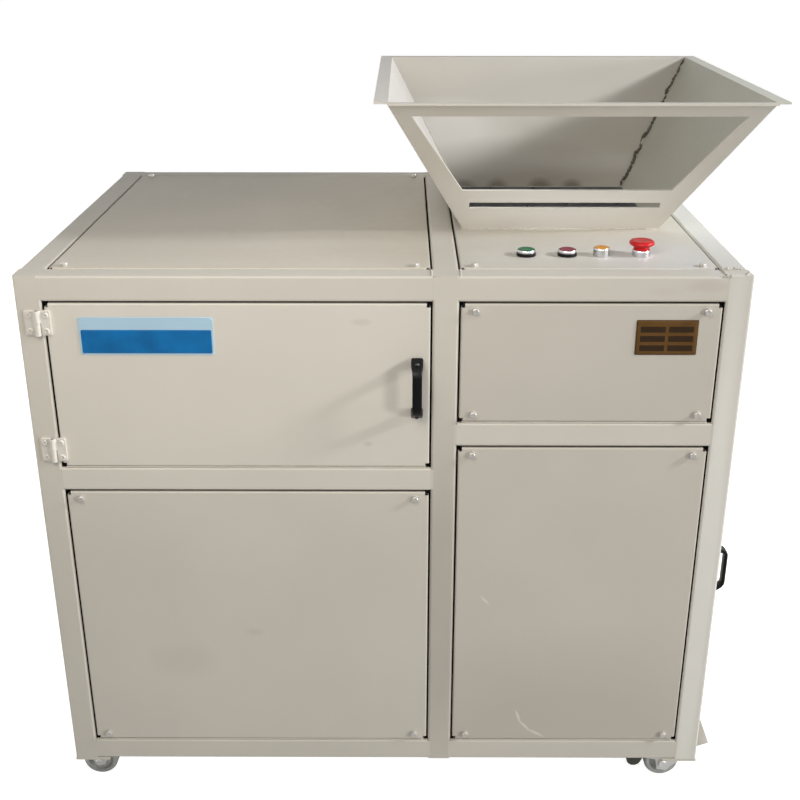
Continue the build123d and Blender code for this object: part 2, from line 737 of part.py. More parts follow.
DRIVE_TOP = SHAFT_Z - GEARBOX_H
with BuildPart() as drive_plate:
    with BuildSketch(Plane.XY.offset(DRIVE_TOP - DRIVE_PLATE)):
        with Locations(((BEARER_X[0] + BEARER_X[1]) / 2, SHAFT_YA)):
            Rectangle(BEARER_X[0] - BEARER_X[1] + TUBE, 2 * GEARBOX_R + 60)
    extrude(amount=DRIVE_PLATE)
finish(drive_plate, "drive_plate")

with BuildPart() as gearbox:
    with BuildSketch(Plane.YZ.offset(GEARBOX_X - GEARBOX_L)):
        with Locations((SHAFT_YA, SHAFT_Z)):
            Circle(GEARBOX_R)
        with Locations((SHAFT_YA, SHAFT_Z - GEARBOX_H / 2)):
            Rectangle(GEARBOX_R * 1.3, GEARBOX_H)
        with Locations((SHAFT_YA, DRIVE_TOP + 11)):
            Rectangle(GEARBOX_R * 2.3, 22)
    extrude(amount=GEARBOX_L)
    with BuildSketch(Plane.YZ.offset(GEARBOX_X)):
        with Locations((SHAFT_YA, SHAFT_Z)):
            Circle(COUPLING_R + 8)
    extrude(amount=25)
    with BuildSketch(Plane.YZ.offset(MOTOR_X)):
        with Locations((SHAFT_YA, SHAFT_Z)):
            Circle(GEARBOX_R + 6)
    extrude(amount=16)
finish(gearbox, "gearbox")

with BuildPart() as motor:
    with BuildSketch(Plane.YZ.offset(MOTOR_X - MOTOR_L)):
        with Locations((SHAFT_YA, SHAFT_Z)):
            Circle(MOTOR_R - 9)
            with PolarLocations(MOTOR_R - 8, 28):
                Rectangle(16, 3.5)
    extrude(amount=MOTOR_L)
    with BuildSketch(Plane.YZ.offset(MOTOR_X - 14)):
        with Locations((SHAFT_YA, SHAFT_Z)):
            Circle(MOTOR_R + 4)
    extrude(amount=14)
    with BuildSketch(FRONT_FACE.offset(FRONT - SHAFT_YA + MOTOR_R - 10)):
        with Locations((MOTOR_X - MOTOR_L / 2, SHAFT_Z)):
            RectangleRounded(90, 80, 8)
    extrude(amount=46)
finish(motor, "motor")

with BuildPart() as motor_cowl:
    with BuildSketch(Plane.YZ.offset(MOTOR_X - MOTOR_L)):
        with Locations((SHAFT_YA, SHAFT_Z)):
            Circle(MOTOR_R + 4)
    extrude(amount=-COWL_L)
    fillet(motor_cowl.faces().sort_by(Axis.X)[0].edges(), 14)
    with BuildSketch(Plane.YZ.offset(MOTOR_X - MOTOR_L - COWL_L)):
        with Locations((SHAFT_YA, SHAFT_Z)):
            for ring, slots in ((0.34, 8), (0.62, 16)):
                with PolarLocations(ring * MOTOR_R, slots):
                    SlotOverall(0.22 * MOTOR_R, 0.07 * MOTOR_R)
    extrude(amount=0.2 * COWL_L, mode=Mode.SUBTRACT)
finish(motor_cowl, "motor_cowl")

BOX_W = BOX_SHARES[0] * LEFT_BAY
BOX_D = BOX_SHARES[1] * FRAME_D
BOX_H = BOX_SHARES[2] * LOWER_LEFT.h
BOX_X = IN_L + BOX_LEFT_SHARE * LEFT_BAY + BOX_W / 2
BOX_Z = LOW + TRAY_T
with BuildPart() as control_box:
    with BuildSketch(Plane.XY.offset(BOX_Z)):
        with Locations((BOX_X, BOX_D / 5)):
            Rectangle(BOX_W, BOX_D)
    extrude(amount=BOX_H)
    with BuildSketch(FRONT_FACE.offset(FRONT - BOX_D / 5 + BOX_D / 2)):
        with Locations((BOX_X, BOX_Z + BOX_H / 2)):
            RectangleRounded(BOX_W - 8, BOX_H - 8, 6)
    extrude(amount=BOX_DOOR)
finish(control_box, "control_box")

# Door
with BuildPart() as front_door:
    add(folded(DOOR_BAY, [], HOLE))
finish(front_door, "front_door")


def bridge_handle(face, u, v):
    """A black bridge pull: two sloped legs and a straight grip, upright on a face."""
    at = face.from_local_coords((u, v, 0))
    side = Plane(origin=at, x_dir=(0, 0, 1), z_dir=face.x_dir)
    up = 1 if side.y_dir.dot(face.z_dir) > 0 else -1
    half = HANDLE_L / 2
    rise = [(-half, 0), (-half + 4, 8), (-half + 12, HANDLE_H)]
    outer = rise + [(-p, q) for p, q in reversed(rise)]
    grip = HANDLE_H - HANDLE_GRIP
    inner = [(-half + 18, 0), (-half + 21, grip), (half - 21, grip), (half - 18, 0)]
    with BuildPart() as handle:
        with BuildSketch(side):
            with BuildLine():
                Polyline(*[(p, up * q) for p, q in outer], close=True)
            make_face()
            with BuildLine():
                Polyline(*[(p, up * q) for p, q in inner], close=True)
            make_face(mode=Mode.SUBTRACT)
        extrude(amount=HANDLE_W / 2, both=True)
        fillet(handle.edges().filter_by(Axis.Z).group_by(Axis(at, face.z_dir))[-1], 2.5)
    return handle.part


with BuildPart() as door_handle:
    middle_v = (LEFT_RAIL + TUBE / 2 + HIGH) / 2
    add(bridge_handle(FRONT_FACE, POST_L - HANDLE_EDGE, middle_v))
finish(door_handle, "door_handle")

HINGE_X = IN_L - HINGE_SET
HINGE_Y = FRONT - HINGE_OUT
HINGE_Z = [HIGH - HINGE_IN, LEFT_RAIL + TUBE / 2 + HINGE_IN]


def hinge_leaf(z, side):
    """One leaf: side -1 is on the frame with the lower knuckle, +1 on the door with the upper."""
    own = Plane.XY.offset(z if side > 0 else z - HINGE_H / 2)
    other = Plane.XY.offset(z - HINGE_H / 2 if side > 0 else z)
    with BuildPart() as leaf:
        with BuildSketch(FRONT_FACE):
            with Locations((HINGE_X + side * (HINGE_W / 2 + 1), z)):
                Rectangle(HINGE_W - 2, HINGE_H)
        extrude(amount=HINGE_LEAF)
        with BuildSketch(own):
            with Locations((HINGE_X, HINGE_Y)):
                Circle(KNUCKLE_R)
            with Locations((HINGE_X + side * KNUCKLE_R / 2, FRONT - HINGE_LEAF / 2)):
                Rectangle(KNUCKLE_R, HINGE_LEAF)
        extrude(amount=HINGE_H / 2 - RUN / 2 if side < 0 else HINGE_H / 2)
        with BuildSketch(other):
            with Locations((HINGE_X, HINGE_Y)):
                Circle(KNUCKLE_R + RUN)
        extrude(amount=HINGE_H / 2 + (RUN / 2 if side > 0 else 0), mode=Mode.SUBTRACT)
        with BuildSketch(Plane.XY.offset(z - HINGE_H)):
            with Locations((HINGE_X, HINGE_Y)):
                Circle(2 + FIT)
        extrude(amount=2 * HINGE_H, mode=Mode.SUBTRACT)
    return leaf.part


with BuildPart() as hinge_frame_leaves:
    for z in HINGE_Z:
        add(hinge_leaf(z, -1))
finish(hinge_frame_leaves, "hinge_frame_leaves")

with BuildPart() as hinge_door_leaves:
    for z in HINGE_Z:
        add(hinge_leaf(z, 1))
finish(hinge_door_leaves, "hinge_door_leaves")

with BuildPart() as hinge_pins:
    for z in HINGE_Z:
        with BuildSketch(Plane.XY.offset(z - HINGE_H / 2)):
            with Locations((HINGE_X, HINGE_Y)):
                Circle(2)
        extrude(amount=HINGE_H)
finish(hinge_pins, "hinge_pins")

# Collection bin
RUNNER_TOP = LOW + 1
with BuildPart() as bin_runners:
    for side in (-1, 1):
        with BuildSketch(Plane.YZ.offset(POST_R)):
            with Locations((side * (IN_B - RUNNER / 2), RUNNER_TOP - RUNNER_T / 2)):
                Rectangle(RUNNER, RUNNER_T)
            with Locations((side * (IN_B - RUNNER_T / 2), RUNNER_TOP - RUNNER / 2)):
                Rectangle(RUNNER_T, RUNNER)
        extrude(amount=IN_R - POST_R)
finish(bin_runners, "bin_runners")

BIN_FLOOR = RUNNER_TOP + 0.3
BIN_TOP = RIGHT_RAIL - TUBE / 2 - BIN_TOP_GAP
BIN_L = POST_R + 12
BIN_R = RIGHT - PANEL_DEPTH
BIN_D = IN_B - IN_F - 2 * BIN_PLAY
with BuildPart() as bin_body:
    with BuildSketch(Plane.XY.offset(BIN_FLOOR)):
        with Locations(((BIN_L + BIN_R) / 2, 0)):
            Rectangle(BIN_R - BIN_L, BIN_D)
    extrude(amount=BIN_TOP - BIN_FLOOR)
    with BuildSketch(Plane.XY.offset(BIN_FLOOR + BIN_WALL)):
        with Locations(((BIN_L + BIN_R) / 2, 0)):
            Rectangle(BIN_R - BIN_L - 2 * BIN_WALL, BIN_D - 2 * BIN_WALL)
    extrude(amount=BIN_TOP - BIN_FLOOR, mode=Mode.SUBTRACT)
finish(bin_body, "bin_body")

# The toe lip under the bin's front: a flared sheet with a hemmed return and closed ends
LIP_L = BIN_BAY.w - 2 * PANEL_GAP - 2 * NOTCH
LIP_X = RIGHT + LIP_SHEET / 2
LIP_Z = BASE_Z + LIP_RISE
LIP_TIP = (RIGHT + LIP_OUT, BASE_Z - LIP_DROP)
LIP_END = (LIP_TIP[0] - LIP_RETURN[0], LIP_TIP[1] - LIP_RETURN[1])
LIP_TURN = (LIP_END[0], LIP_END[1] + LIP_HEM)
with BuildPart() as bin_front:
    add(folded(BIN_BAY, [], HOLE))
    with BuildSketch(Plane.XZ.offset(LIP_L / 2)):
        with BuildLine():
            Polyline((LIP_X, LIP_Z + 24), (LIP_X, LIP_Z), LIP_TIP, LIP_END, LIP_TURN)
            offset(amount=LIP_SHEET / 2, side=Side.BOTH)
        make_face()
    extrude(amount=-LIP_L)
    for y in (-LIP_L / 2, LIP_L / 2 - LIP_SHEET):
        with BuildSketch(Plane.XZ.offset(-y)):
            with BuildLine():
                Polyline((LIP_X, LIP_Z), LIP_TIP, LIP_END, LIP_TURN, close=True)
            make_face()
        extrude(amount=-LIP_SHEET)
finish(bin_front, "bin_front")

with BuildPart() as bin_handles:
    for side in (-1, 1):
        u = side * (IN_B - HANDLE_EDGE)
        add(bridge_handle(RIGHT_FACE, u, BASE_Z + SIDE_HANDLE_Z))
finish(bin_handles, "bin_handles")

# Casters: fixed at the left end, swivelling with a brake at the right end
PLATE_Z = BASE_Z - PAD_T - 3
EAR = WHEEL_R + 3
EAR_Z = WHEEL_R + 18
PIVOT_R = 2.5
FIXED = [(LEFT + CASTER_IN, FRONT + CASTER_SET), (LEFT + CASTER_IN, REAR - CASTER_SET)]
SWIVEL = [(RIGHT - CASTER_IN, FRONT + CASTER_SET), (RIGHT - CASTER_IN, REAR - CASTER_SET)]
LEG_Y = WHEEL_W / 2 + 1 + FORK_T / 2
RACE_Z = PLATE_Z - 6
CROWN_Z = RACE_Z - RUN - 3


def axle(centre, half):
    """The wheel's axle along Y through a fork."""
    x, y = centre
    with BuildPart() as pin:
        with BuildSketch(Plane.XZ.offset(-y - half)):
            with Locations((x, WHEEL_R)):
                Circle(AXLE_R)
                Circle(AXLE_R - 1, mode=Mode.SUBTRACT)
        extrude(amount=2 * half)
    return pin.part


with BuildPart() as caster_brackets:
    for x, y in FIXED:
        with BuildSketch(Plane.XY.offset(PLATE_Z)):
            with Locations((x, y)):
                Rectangle(CASTER_PLATE_W, CASTER_PLATE_L)
        extrude(amount=3)
        for side in (-1, 1):
            with BuildSketch(Plane.XZ.offset(-y - side * LEG_Y - FORK_T / 2)):
                with BuildLine():
                    Polyline(
                        (x - 24, PLATE_Z),
                        (x + 24, PLATE_Z),
                        (x + 9, WHEEL_R - 9),
                        (x - 9, WHEEL_R - 9),
                        close=True,
                    )
                make_face()
            extrude(amount=FORK_T)
        add(axle((x, y), LEG_Y + FORK_T / 2 + 2))
    for x, y in SWIVEL:
        with BuildSketch(Plane.XY.offset(PLATE_Z)):
            with Locations((x, y)):
                Rectangle(CASTER_PLATE_W, CASTER_PLATE_L)
        extrude(amount=3)
        with BuildSketch(Plane.XY.offset(RACE_Z)):
            with Locations((x, y)):
                Circle(22)
        extrude(amount=6)
        with BuildSketch(Plane.XY.offset(CROWN_Z - 1)):
            with Locations((x, y)):
                Circle(KING_R)
        extrude(amount=RACE_Z - CROWN_Z + 1)
finish(caster_brackets, "caster_brackets")


def swivel_fork(place):
    """A trailing fork: crown, two sloped legs and the axle."""
    x, y = place
    wx = x - TRAIL
    with BuildPart() as fork:
        with BuildSketch(Plane.XY.offset(CROWN_Z)):
            with Locations((x, y)):
                Circle(23)
            with Locations((x - 10, y)):
                Rectangle(30, 2 * LEG_Y + FORK_T)
            with Locations((x, y)):
                Circle(KING_R + FIT, mode=Mode.SUBTRACT)
        extrude(amount=3)
        for side in (-1, 1):
            with BuildSketch(Plane.XZ.offset(-y - side * LEG_Y - FORK_T / 2)):
                with BuildLine():
                    Polyline(
                        (x - 25, CROWN_Z),
                        (x + 21, CROWN_Z),
                        (x + 19, WHEEL_R + 14),
                        (wx + 9, WHEEL_R - 18),
                        (wx - 8, WHEEL_R - 16),
                        (wx - 12, WHEEL_R + 6),
                        (wx - EAR - 4, EAR_Z - 5),
                        (wx - EAR - 5, EAR_Z + 4),
                        close=True,
                    )
                make_face()
                with Locations((wx - EAR, EAR_Z)):
                    Circle(PIVOT_R + FIT, mode=Mode.SUBTRACT)
            extrude(amount=FORK_T)
        add(axle((wx, y), LEG_Y + FORK_T / 2 + 2))
    return fork


swivel_fork_front = swivel_fork(SWIVEL[0])
finish(swivel_fork_front, "swivel_fork_front")

swivel_fork_rear = swivel_fork(SWIVEL[1])
finish(swivel_fork_rear, "swivel_fork_rear")


def caster_wheel(place):
    """A grey wheel with a rounded tread, dished sides and a plain bore."""
    x, y = place
    with BuildPart() as wheel:
        with BuildSketch(Plane.XZ.offset(-y - WHEEL_W / 2)):
            with Locations((x, WHEEL_R)):
                Circle(WHEEL_R)
        extrude(amount=WHEEL_W)
        fillet(wheel.edges().filter_by(GeomType.CIRCLE), 4)
        for side in (-1, 1):
            with BuildSketch(Plane.XZ.offset(-y - side * WHEEL_W / 2)):
                with Locations((x, WHEEL_R)):
                    Circle(WHEEL_R - 9)
                    Circle(9, mode=Mode.SUBTRACT)
            extrude(amount=side * 4, mode=Mode.SUBTRACT)
        with BuildSketch(Plane.XZ.offset(-y - WHEEL_W)):
            with Locations((x, WHEEL_R)):
                Circle(AXLE_R + FIT)
        extrude(amount=2 * WHEEL_W, mode=Mode.SUBTRACT)
    return wheel


wheel_left_front = caster_wheel(FIXED[0])
finish(wheel_left_front, "wheel_left_front")

wheel_left_rear = caster_wheel(FIXED[1])
finish(wheel_left_rear, "wheel_left_rear")

wheel_right_front = caster_wheel((SWIVEL[0][0] - TRAIL, SWIVEL[0][1]))
finish(wheel_right_front, "wheel_right_front")

wheel_right_rear = caster_wheel((SWIVEL[1][0] - TRAIL, SWIVEL[1][1]))
finish(wheel_right_rear, "wheel_right_rear")

PEDAL_W = 2 * LEG_Y - FORK_T - 1


def brake_pedal(place):
    """A bent tongue over the wheel's trailing side, with a pivot pin through the fork's legs."""
    x, y = place
    wx = x - TRAIL
    px = wx - EAR
    pz = EAR_Z
    with BuildPart() as pedal:
        with BuildSketch(Plane.XZ.offset(-y - PEDAL_W / 2)):
            with BuildLine():
                Polyline((px - 4, pz - 17), (px + 5, pz), (px + 3, pz + 4), (px - 29, pz - 8))
                ThreePointArc((px - 29, pz - 8), (px - 16, pz - 27), (px - 4, pz - 17))
            make_face()
        extrude(amount=PEDAL_W)
        with BuildSketch(Plane.XZ.offset(-y - LEG_Y - FORK_T)):
            with Locations((px, pz)):
                Circle(PIVOT_R)
        extrude(amount=2 * LEG_Y + 2 * FORK_T)
    return pedal


brake_pedal_front = brake_pedal(SWIVEL[0])
finish(brake_pedal_front, "brake_pedal_front")

brake_pedal_rear = brake_pedal(SWIVEL[1])
finish(brake_pedal_rear, "brake_pedal_rear")
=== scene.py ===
"""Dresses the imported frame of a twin-shaft shredder: finishes, fasteners, fittings, plates and welds."""

import json
import logging
from dataclasses import dataclass, replace
from enum import Enum
from functools import cached_property
from itertools import product
from math import radians

import bmesh
import bpy
import numpy as np
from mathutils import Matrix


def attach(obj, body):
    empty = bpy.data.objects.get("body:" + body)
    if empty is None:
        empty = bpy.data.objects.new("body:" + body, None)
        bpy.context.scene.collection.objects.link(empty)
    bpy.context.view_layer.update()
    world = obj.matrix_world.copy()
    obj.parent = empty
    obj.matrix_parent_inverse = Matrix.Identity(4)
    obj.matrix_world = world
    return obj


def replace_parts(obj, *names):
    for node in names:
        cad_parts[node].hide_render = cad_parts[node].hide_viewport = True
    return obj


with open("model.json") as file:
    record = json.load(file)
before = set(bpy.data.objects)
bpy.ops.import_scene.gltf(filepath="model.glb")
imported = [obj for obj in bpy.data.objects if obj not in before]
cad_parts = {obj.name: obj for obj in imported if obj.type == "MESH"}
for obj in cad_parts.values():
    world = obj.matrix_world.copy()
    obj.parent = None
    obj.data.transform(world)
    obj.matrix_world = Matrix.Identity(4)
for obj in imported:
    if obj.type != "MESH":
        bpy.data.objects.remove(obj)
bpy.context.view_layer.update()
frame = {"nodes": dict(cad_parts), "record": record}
log = logging.getLogger("shredder")

MM = 0.001
FRONT_Y = -384.0
TOP_Z = 981.0
Colour = tuple[int, int, int]
Point = tuple[float, float, float]
Socket = bpy.types.NodeSocket
Inputs = dict[str | int, object]


class Body(Enum):
    """The moving bodies of the CAD model that dressed pieces ride on."""

    CABINET = "cabinet"
    DOOR = "door"
    BIN = "bin"
    START = "start"
    STOP = "stop"
    REVERSE = "reverse"
    EMERGENCY = "emergency"
    SWIVEL_FRONT = "swivel_front"
    SWIVEL_REAR = "swivel_rear"
    WHEEL_LEFT_FRONT = "wheel_lf"
    WHEEL_LEFT_REAR = "wheel_lr"
    WHEEL_RIGHT_FRONT = "wheel_rf"
    WHEEL_RIGHT_REAR = "wheel_rr"
    FRONT_ROTOR = "front_rotor"


class Slot(Enum):
    """The record's material slots."""

    PAINT = "cabinet_paint"
    STEEL = "bare_steel"
    CUTTER = "cutter_steel"
    ZINC = "zinc"
    CHROME = "chrome"
    BLACK = "black_plastic"
    DARK = "dark_plastic"
    GREEN = "green_plastic"
    RED = "red_plastic"
    YELLOW = "yellow_plastic"
    DRIVE = "drive_paint"
    MOTOR = "motor_paint"
    IRON = "cast_iron"
    RUBBER = "wheel_rubber"


# Finishes

WHITE = (1.0, 1.0, 1.0, 1.0)
NOISE_RANGE = (0.3, 0.7)
GLOSS_SCALE = 60.0
MARK_FULL = 0.6
MIX_FACTOR, MIX_FIRST, MIX_SECOND, MIX_RESULT = 0, 6, 7, 2


def linear(colour: Colour, gain: float = 1.0) -> tuple[float, float, float, float]:
    """Turns a display colour into the linear colour that shaders take.

    The sRGB curve is c/12.92 below 0.04045 and ((c + 0.055) / 1.055) ** 2.4 above it.

    Args:
        colour: Red, green and blue from 0 to 255.
        gain: Factor on the linear colour.

    Returns:
        Linear red, green, blue and an alpha of 1.
    """
    share = np.array(colour, float) / 255
    curve = np.where(share < 0.04045, share / 12.92, ((share + 0.055) / 1.055) ** 2.4)
    red, green, blue = np.clip(curve * gain, 0, 1)
    return float(red), float(green), float(blue), 1.0


class Graph:
    """The nodes of a material or a world, with short calls to make and join them."""

    def __init__(self, owner: bpy.types.Material | bpy.types.World, shader: str = "Principled BSDF") -> None:
        """Takes over the owner's nodes, which end in the named shader."""
        owner.use_nodes = True
        self.tree = owner.node_tree
        self.shader = self.tree.nodes[shader]

    @cached_property
    def coords(self) -> Socket:
        """Gives the own coordinates of the object that wears the material."""
        return self.tree.nodes.new("ShaderNodeTexCoord").outputs["Object"]

    def fill(self, node: bpy.types.Node, inputs: Inputs) -> None:
        """Sets a node's inputs to values or links them to sockets, by input name or number."""
        for key, value in inputs.items():
            if isinstance(value, Socket):
                self.tree.links.new(value, node.inputs[key])
            else:
                node.inputs[key].default_value = value

    def shade(self, inputs: Inputs) -> None:
        """Sets or links inputs of the shader."""
        self.fill(self.shader, inputs)

    def node(self, kind: str, inputs: Inputs, **settings: object) -> bpy.types.Node:
        """Makes a node.

        Args:
            kind: Blender's name for the node.
            inputs: Values or sockets for its inputs, by input name or number.
            settings: Plain properties of the node.

        Returns:
            The new node.
        """
        made = self.tree.nodes.new(kind)
        for key, value in settings.items():
            setattr(made, key, value)
        self.fill(made, inputs)
        return made

    def noise(self, scale: float, detail: float) -> Socket:
        """Gives noise on the object's own coordinates, with a scale in waves per metre."""
        inputs = {"Vector": self.coords, "Scale": scale, "Detail": detail}
        return self.node("ShaderNodeTexNoise", inputs).outputs["Fac"]

    def shades(self, factor: Socket, colour: Colour, share: float) -> Socket:
        """Runs noise from a shade darker than a colour, by a share of it, to one as much lighter."""
        made = self.node("ShaderNodeValToRGB", {"Fac": factor})
        for stop, place, gain in zip(made.color_ramp.elements, NOISE_RANGE, (1 - share, 1 + share)):
            stop.position, stop.color = place, linear(colour, gain)
        return made.outputs["Color"]

    def spread(self, factor: Socket, middle: float, reach: float) -> Socket:
        """Maps noise onto the range that reaches equally far below and above a middle value."""
        low, high = NOISE_RANGE
        inputs = {"Value": factor, "From Min": low, "From Max": high,
                  "To Min": middle - reach, "To Max": middle + reach}
        return self.node("ShaderNodeMapRange", inputs).outputs["Result"]

    def bump(self, height: Socket, depth: float, under: Socket | None = None) -> Socket:
        """Turns a height into a normal.

        Args:
            height: Height from 0 to 1.
            depth: Depth of the whole range in metres.
            under: A normal that this one lies on.

        Returns:
            The normal's socket.
        """
        inputs = {"Height": height, "Distance": depth, "Strength": 1.0}
        if under is not None:
            inputs["Normal"] = under
        return self.node("ShaderNodeBump", inputs).outputs["Normal"]


@dataclass(frozen=True)
class Mark:
    """A soft oval on a finish: a smudge, a scratch, a painted highlight or a painted shade, in millimetres
    and degrees of the part's frame.
    """

    centre: Point
    radii: Point
    colour: Colour
    strength: float
    turn: Point = (0.0, 0.0, 0.0)

    def mix_stain_and_painted_light(self, graph: Graph, tint: Socket) -> Socket:
        """Mixes the mark into a colour, strongest in the oval's middle and nothing at its edge."""
        oval = {"Location": [x * MM for x in self.centre], "Rotation": [radians(x) for x in self.turn],
                "Scale": [x * MM for x in self.radii]}
        local = graph.node("ShaderNodeMapping", {"Vector": graph.coords, **oval}, vector_type="TEXTURE")
        depth = graph.node("ShaderNodeTexGradient", {"Vector": local.outputs["Vector"]},
                           gradient_type="SPHERICAL")
        soft = graph.node("ShaderNodeMapRange", {"Value": depth.outputs["Fac"], "From Max": MARK_FULL,
                                                 "To Max": self.strength})
        colours = {MIX_FACTOR: soft.outputs["Result"], MIX_FIRST: tint, MIX_SECOND: linear(self.colour)}
        return graph.node("ShaderNodeMix", colours, data_type="RGBA").outputs[MIX_RESULT]


@dataclass(frozen=True)
class Finish:
    """A finish with cloudy colour, uneven gloss and a fine surface grain."""

    name: str
    colour: Colour
    roughness: float = 0.45
    metallic: float = 0.0
    cloud: float = 0.02
    cloud_scale: float = 5.0
    patchy: float = 0.05
    grain_scale: float = 500.0
    grain: float = 0.00003
    wave_scale: float = 3.0
    wave: float = 0.0
    shine: float = 0.5
    marks: tuple[Mark, ...] = ()

    def material(self) -> bpy.types.Material:
        """Builds the material, or returns it if it was built before.

        Colour is noise between two shades of the colour, then each mark mixed in by
        1 - distance in its oval; gloss is noise about the roughness; the normal is a
        slow wave of the sheet with a fine grain on it.

        Returns:
            The Blender material.
        """
        known = bpy.data.materials.get(self.name)
        if known is not None:
            return known
        material = bpy.data.materials.new(self.name)
        graph = Graph(material)
        tint = graph.shades(graph.noise(self.cloud_scale, 4.0), self.colour, self.cloud)
        for mark in self.marks:
            tint = mark.mix_stain_and_painted_light(graph, tint)
        gloss = graph.spread(graph.noise(GLOSS_SCALE, 3.0), self.roughness, self.patchy)
        normal = graph.bump(graph.noise(self.grain_scale, 2.0), self.grain)
        if self.wave > 0:
            normal = graph.bump(graph.noise(self.wave_scale, 1.0), self.wave, normal)
        graph.shade({"Base Color": tint, "Roughness": gloss, "Normal": normal,
                     "Metallic": self.metallic, "Specular IOR Level": self.shine})
        material.diffuse_color = linear(self.colour)
        return material


PAINT = Finish("sprayed_cabinet_paint", (206, 200, 188), 0.47, cloud=0.025, wave=0.0010,
               grain_scale=700.0, grain=0.00004, shine=0.32)
STEEL = Finish("ground_steel", (168, 168, 170), 0.34, 0.95, patchy=0.08)
CUTTER = Finish("hardened_cutter_steel", (92, 90, 88), 0.40, 0.9, cloud=0.12, cloud_scale=30.0, patchy=0.1)
ZINC = Finish("zinc_plate", (224, 222, 217), 0.36, 0.5, cloud=0.06, cloud_scale=40.0, patchy=0.08)
BOLT = Finish("bright_bolt_plate", (204, 201, 194), 0.3, 0.5, cloud=0.04, cloud_scale=60.0, grain=0.00001)
HINGE = Finish("glossy_hinge_paint", (218, 212, 202), 0.34, cloud=0.03)
CHROME = Finish("satin_chrome", (206, 206, 207), 0.24, 1.0, cloud=0.01, patchy=0.04, grain=0.000004)
BLACK = Finish("black_moulded_plastic", (6, 6, 7), 0.4, cloud=0.05, grain_scale=1400.0, shine=0.22)
DARK = Finish("dark_moulded_plastic", (52, 54, 56), 0.5, cloud=0.06, grain_scale=1200.0, grain=0.00004)
GREEN = Finish("green_button_plastic", (22, 92, 56), 0.42, grain=0.000004, shine=0.25)
CRIMSON = replace(GREEN, name="crimson_button_plastic", colour=(122, 34, 52))
YELLOW = replace(GREEN, name="yellow_button_plastic", colour=(204, 138, 46))
RED = Finish("red_button_plastic", (182, 12, 14), 0.3, grain=0.000004, shine=0.3)
DRIVE = Finish("gearbox_enamel", (70, 88, 110), 0.4, cloud=0.05, grain=0.00008)
MOTOR = replace(DRIVE, name="motor_enamel", colour=(82, 98, 116))
IRON = Finish("cast_iron_skin", (92, 92, 92), 0.6, 0.6, cloud=0.1, cloud_scale=60.0, grain_scale=400.0,
              grain=0.0002)
RUBBER = Finish("grey_wheel_rubber", (178, 178, 174), 0.55, cloud=0.1, cloud_scale=40.0, grain=0.00006)
# plain black that stands in for the shade deep in the panels' gaps and notched corners
GAP_SHADE_BLACK = Finish("black_painted_gap_shade", (10, 10, 10), 0.85, cloud=0.2, cloud_scale=90.0, grain=0.0002, shine=0.1)
PEDAL = Finish("olive_pedal_plastic", (66, 66, 56), 0.5, cloud=0.08, grain_scale=900.0, grain=0.00005)
BLUE = Finish("blue_enamel", (10, 104, 164), 0.34, cloud=0.22, cloud_scale=26.0, grain=0.000005, shine=0.4)
PALE_BLUE = Finish("pale_enamel", (174, 204, 220), 0.34, cloud=0.04, grain=0.000005, shine=0.4)
BRONZE = Finish("dark_bronze_plate", (98, 68, 30), 0.5, 0.1, cloud=0.14, cloud_scale=40.0, grain=0.00001,
                shine=0.2)
BRONZE_EDGE = Finish("dull_bronze_edge", (72, 52, 28), 0.5, 0.1, grain=0.00001, shine=0.2)
ETCHED = Finish("etched_bronze_field", (50, 34, 18), 0.6, cloud=0.1, cloud_scale=90.0, grain=0.00002,
                shine=0.15)
WELD = Finish("painted_weld", (196, 190, 178), 0.5, cloud=0.1, cloud_scale=120.0, grain_scale=260.0,
              grain=0.0006)
BURNT_WELD = Finish("bare_weld", (92, 86, 75), 0.65, 0.05, cloud=0.4, cloud_scale=160.0, grain_scale=260.0,
                    grain=0.0008)


def shaded(name: str, colour: Colour, *marks: Mark) -> Finish:
    """Gives the cabinet's paint for one part, a shade lighter or darker where that paints light or shade on
    the part, with marks on it.
    """
    return replace(PAINT, name=name, colour=colour, marks=marks)


def front_mark(x: float, z: float, radii: Point, colour: Colour, strength: float, tilt: float = 0.0) -> Mark:
    """Gives a mark on the cabinet's front, tilted clockwise by an angle in degrees."""
    return Mark((x, FRONT_Y, z), radii, colour, strength, (0.0, tilt, 0.0))


def scratch(x: float, z: float, reach: float, tilt: float) -> Mark:
    """Gives one stretch of a pale scratch on the cabinet's front."""
    return front_mark(x, z, (reach, 6.0, 3.2), (226, 220, 210), 0.7, tilt)


def dark_foot_spot(x: float, z: float, wide: float, high: float, strength: float) -> Mark:
    """Gives a dark spot at the foot of the hopper's rear wall."""
    return Mark((x, 243.5, z), (wide, 16.0, high), (104, 96, 84), strength)


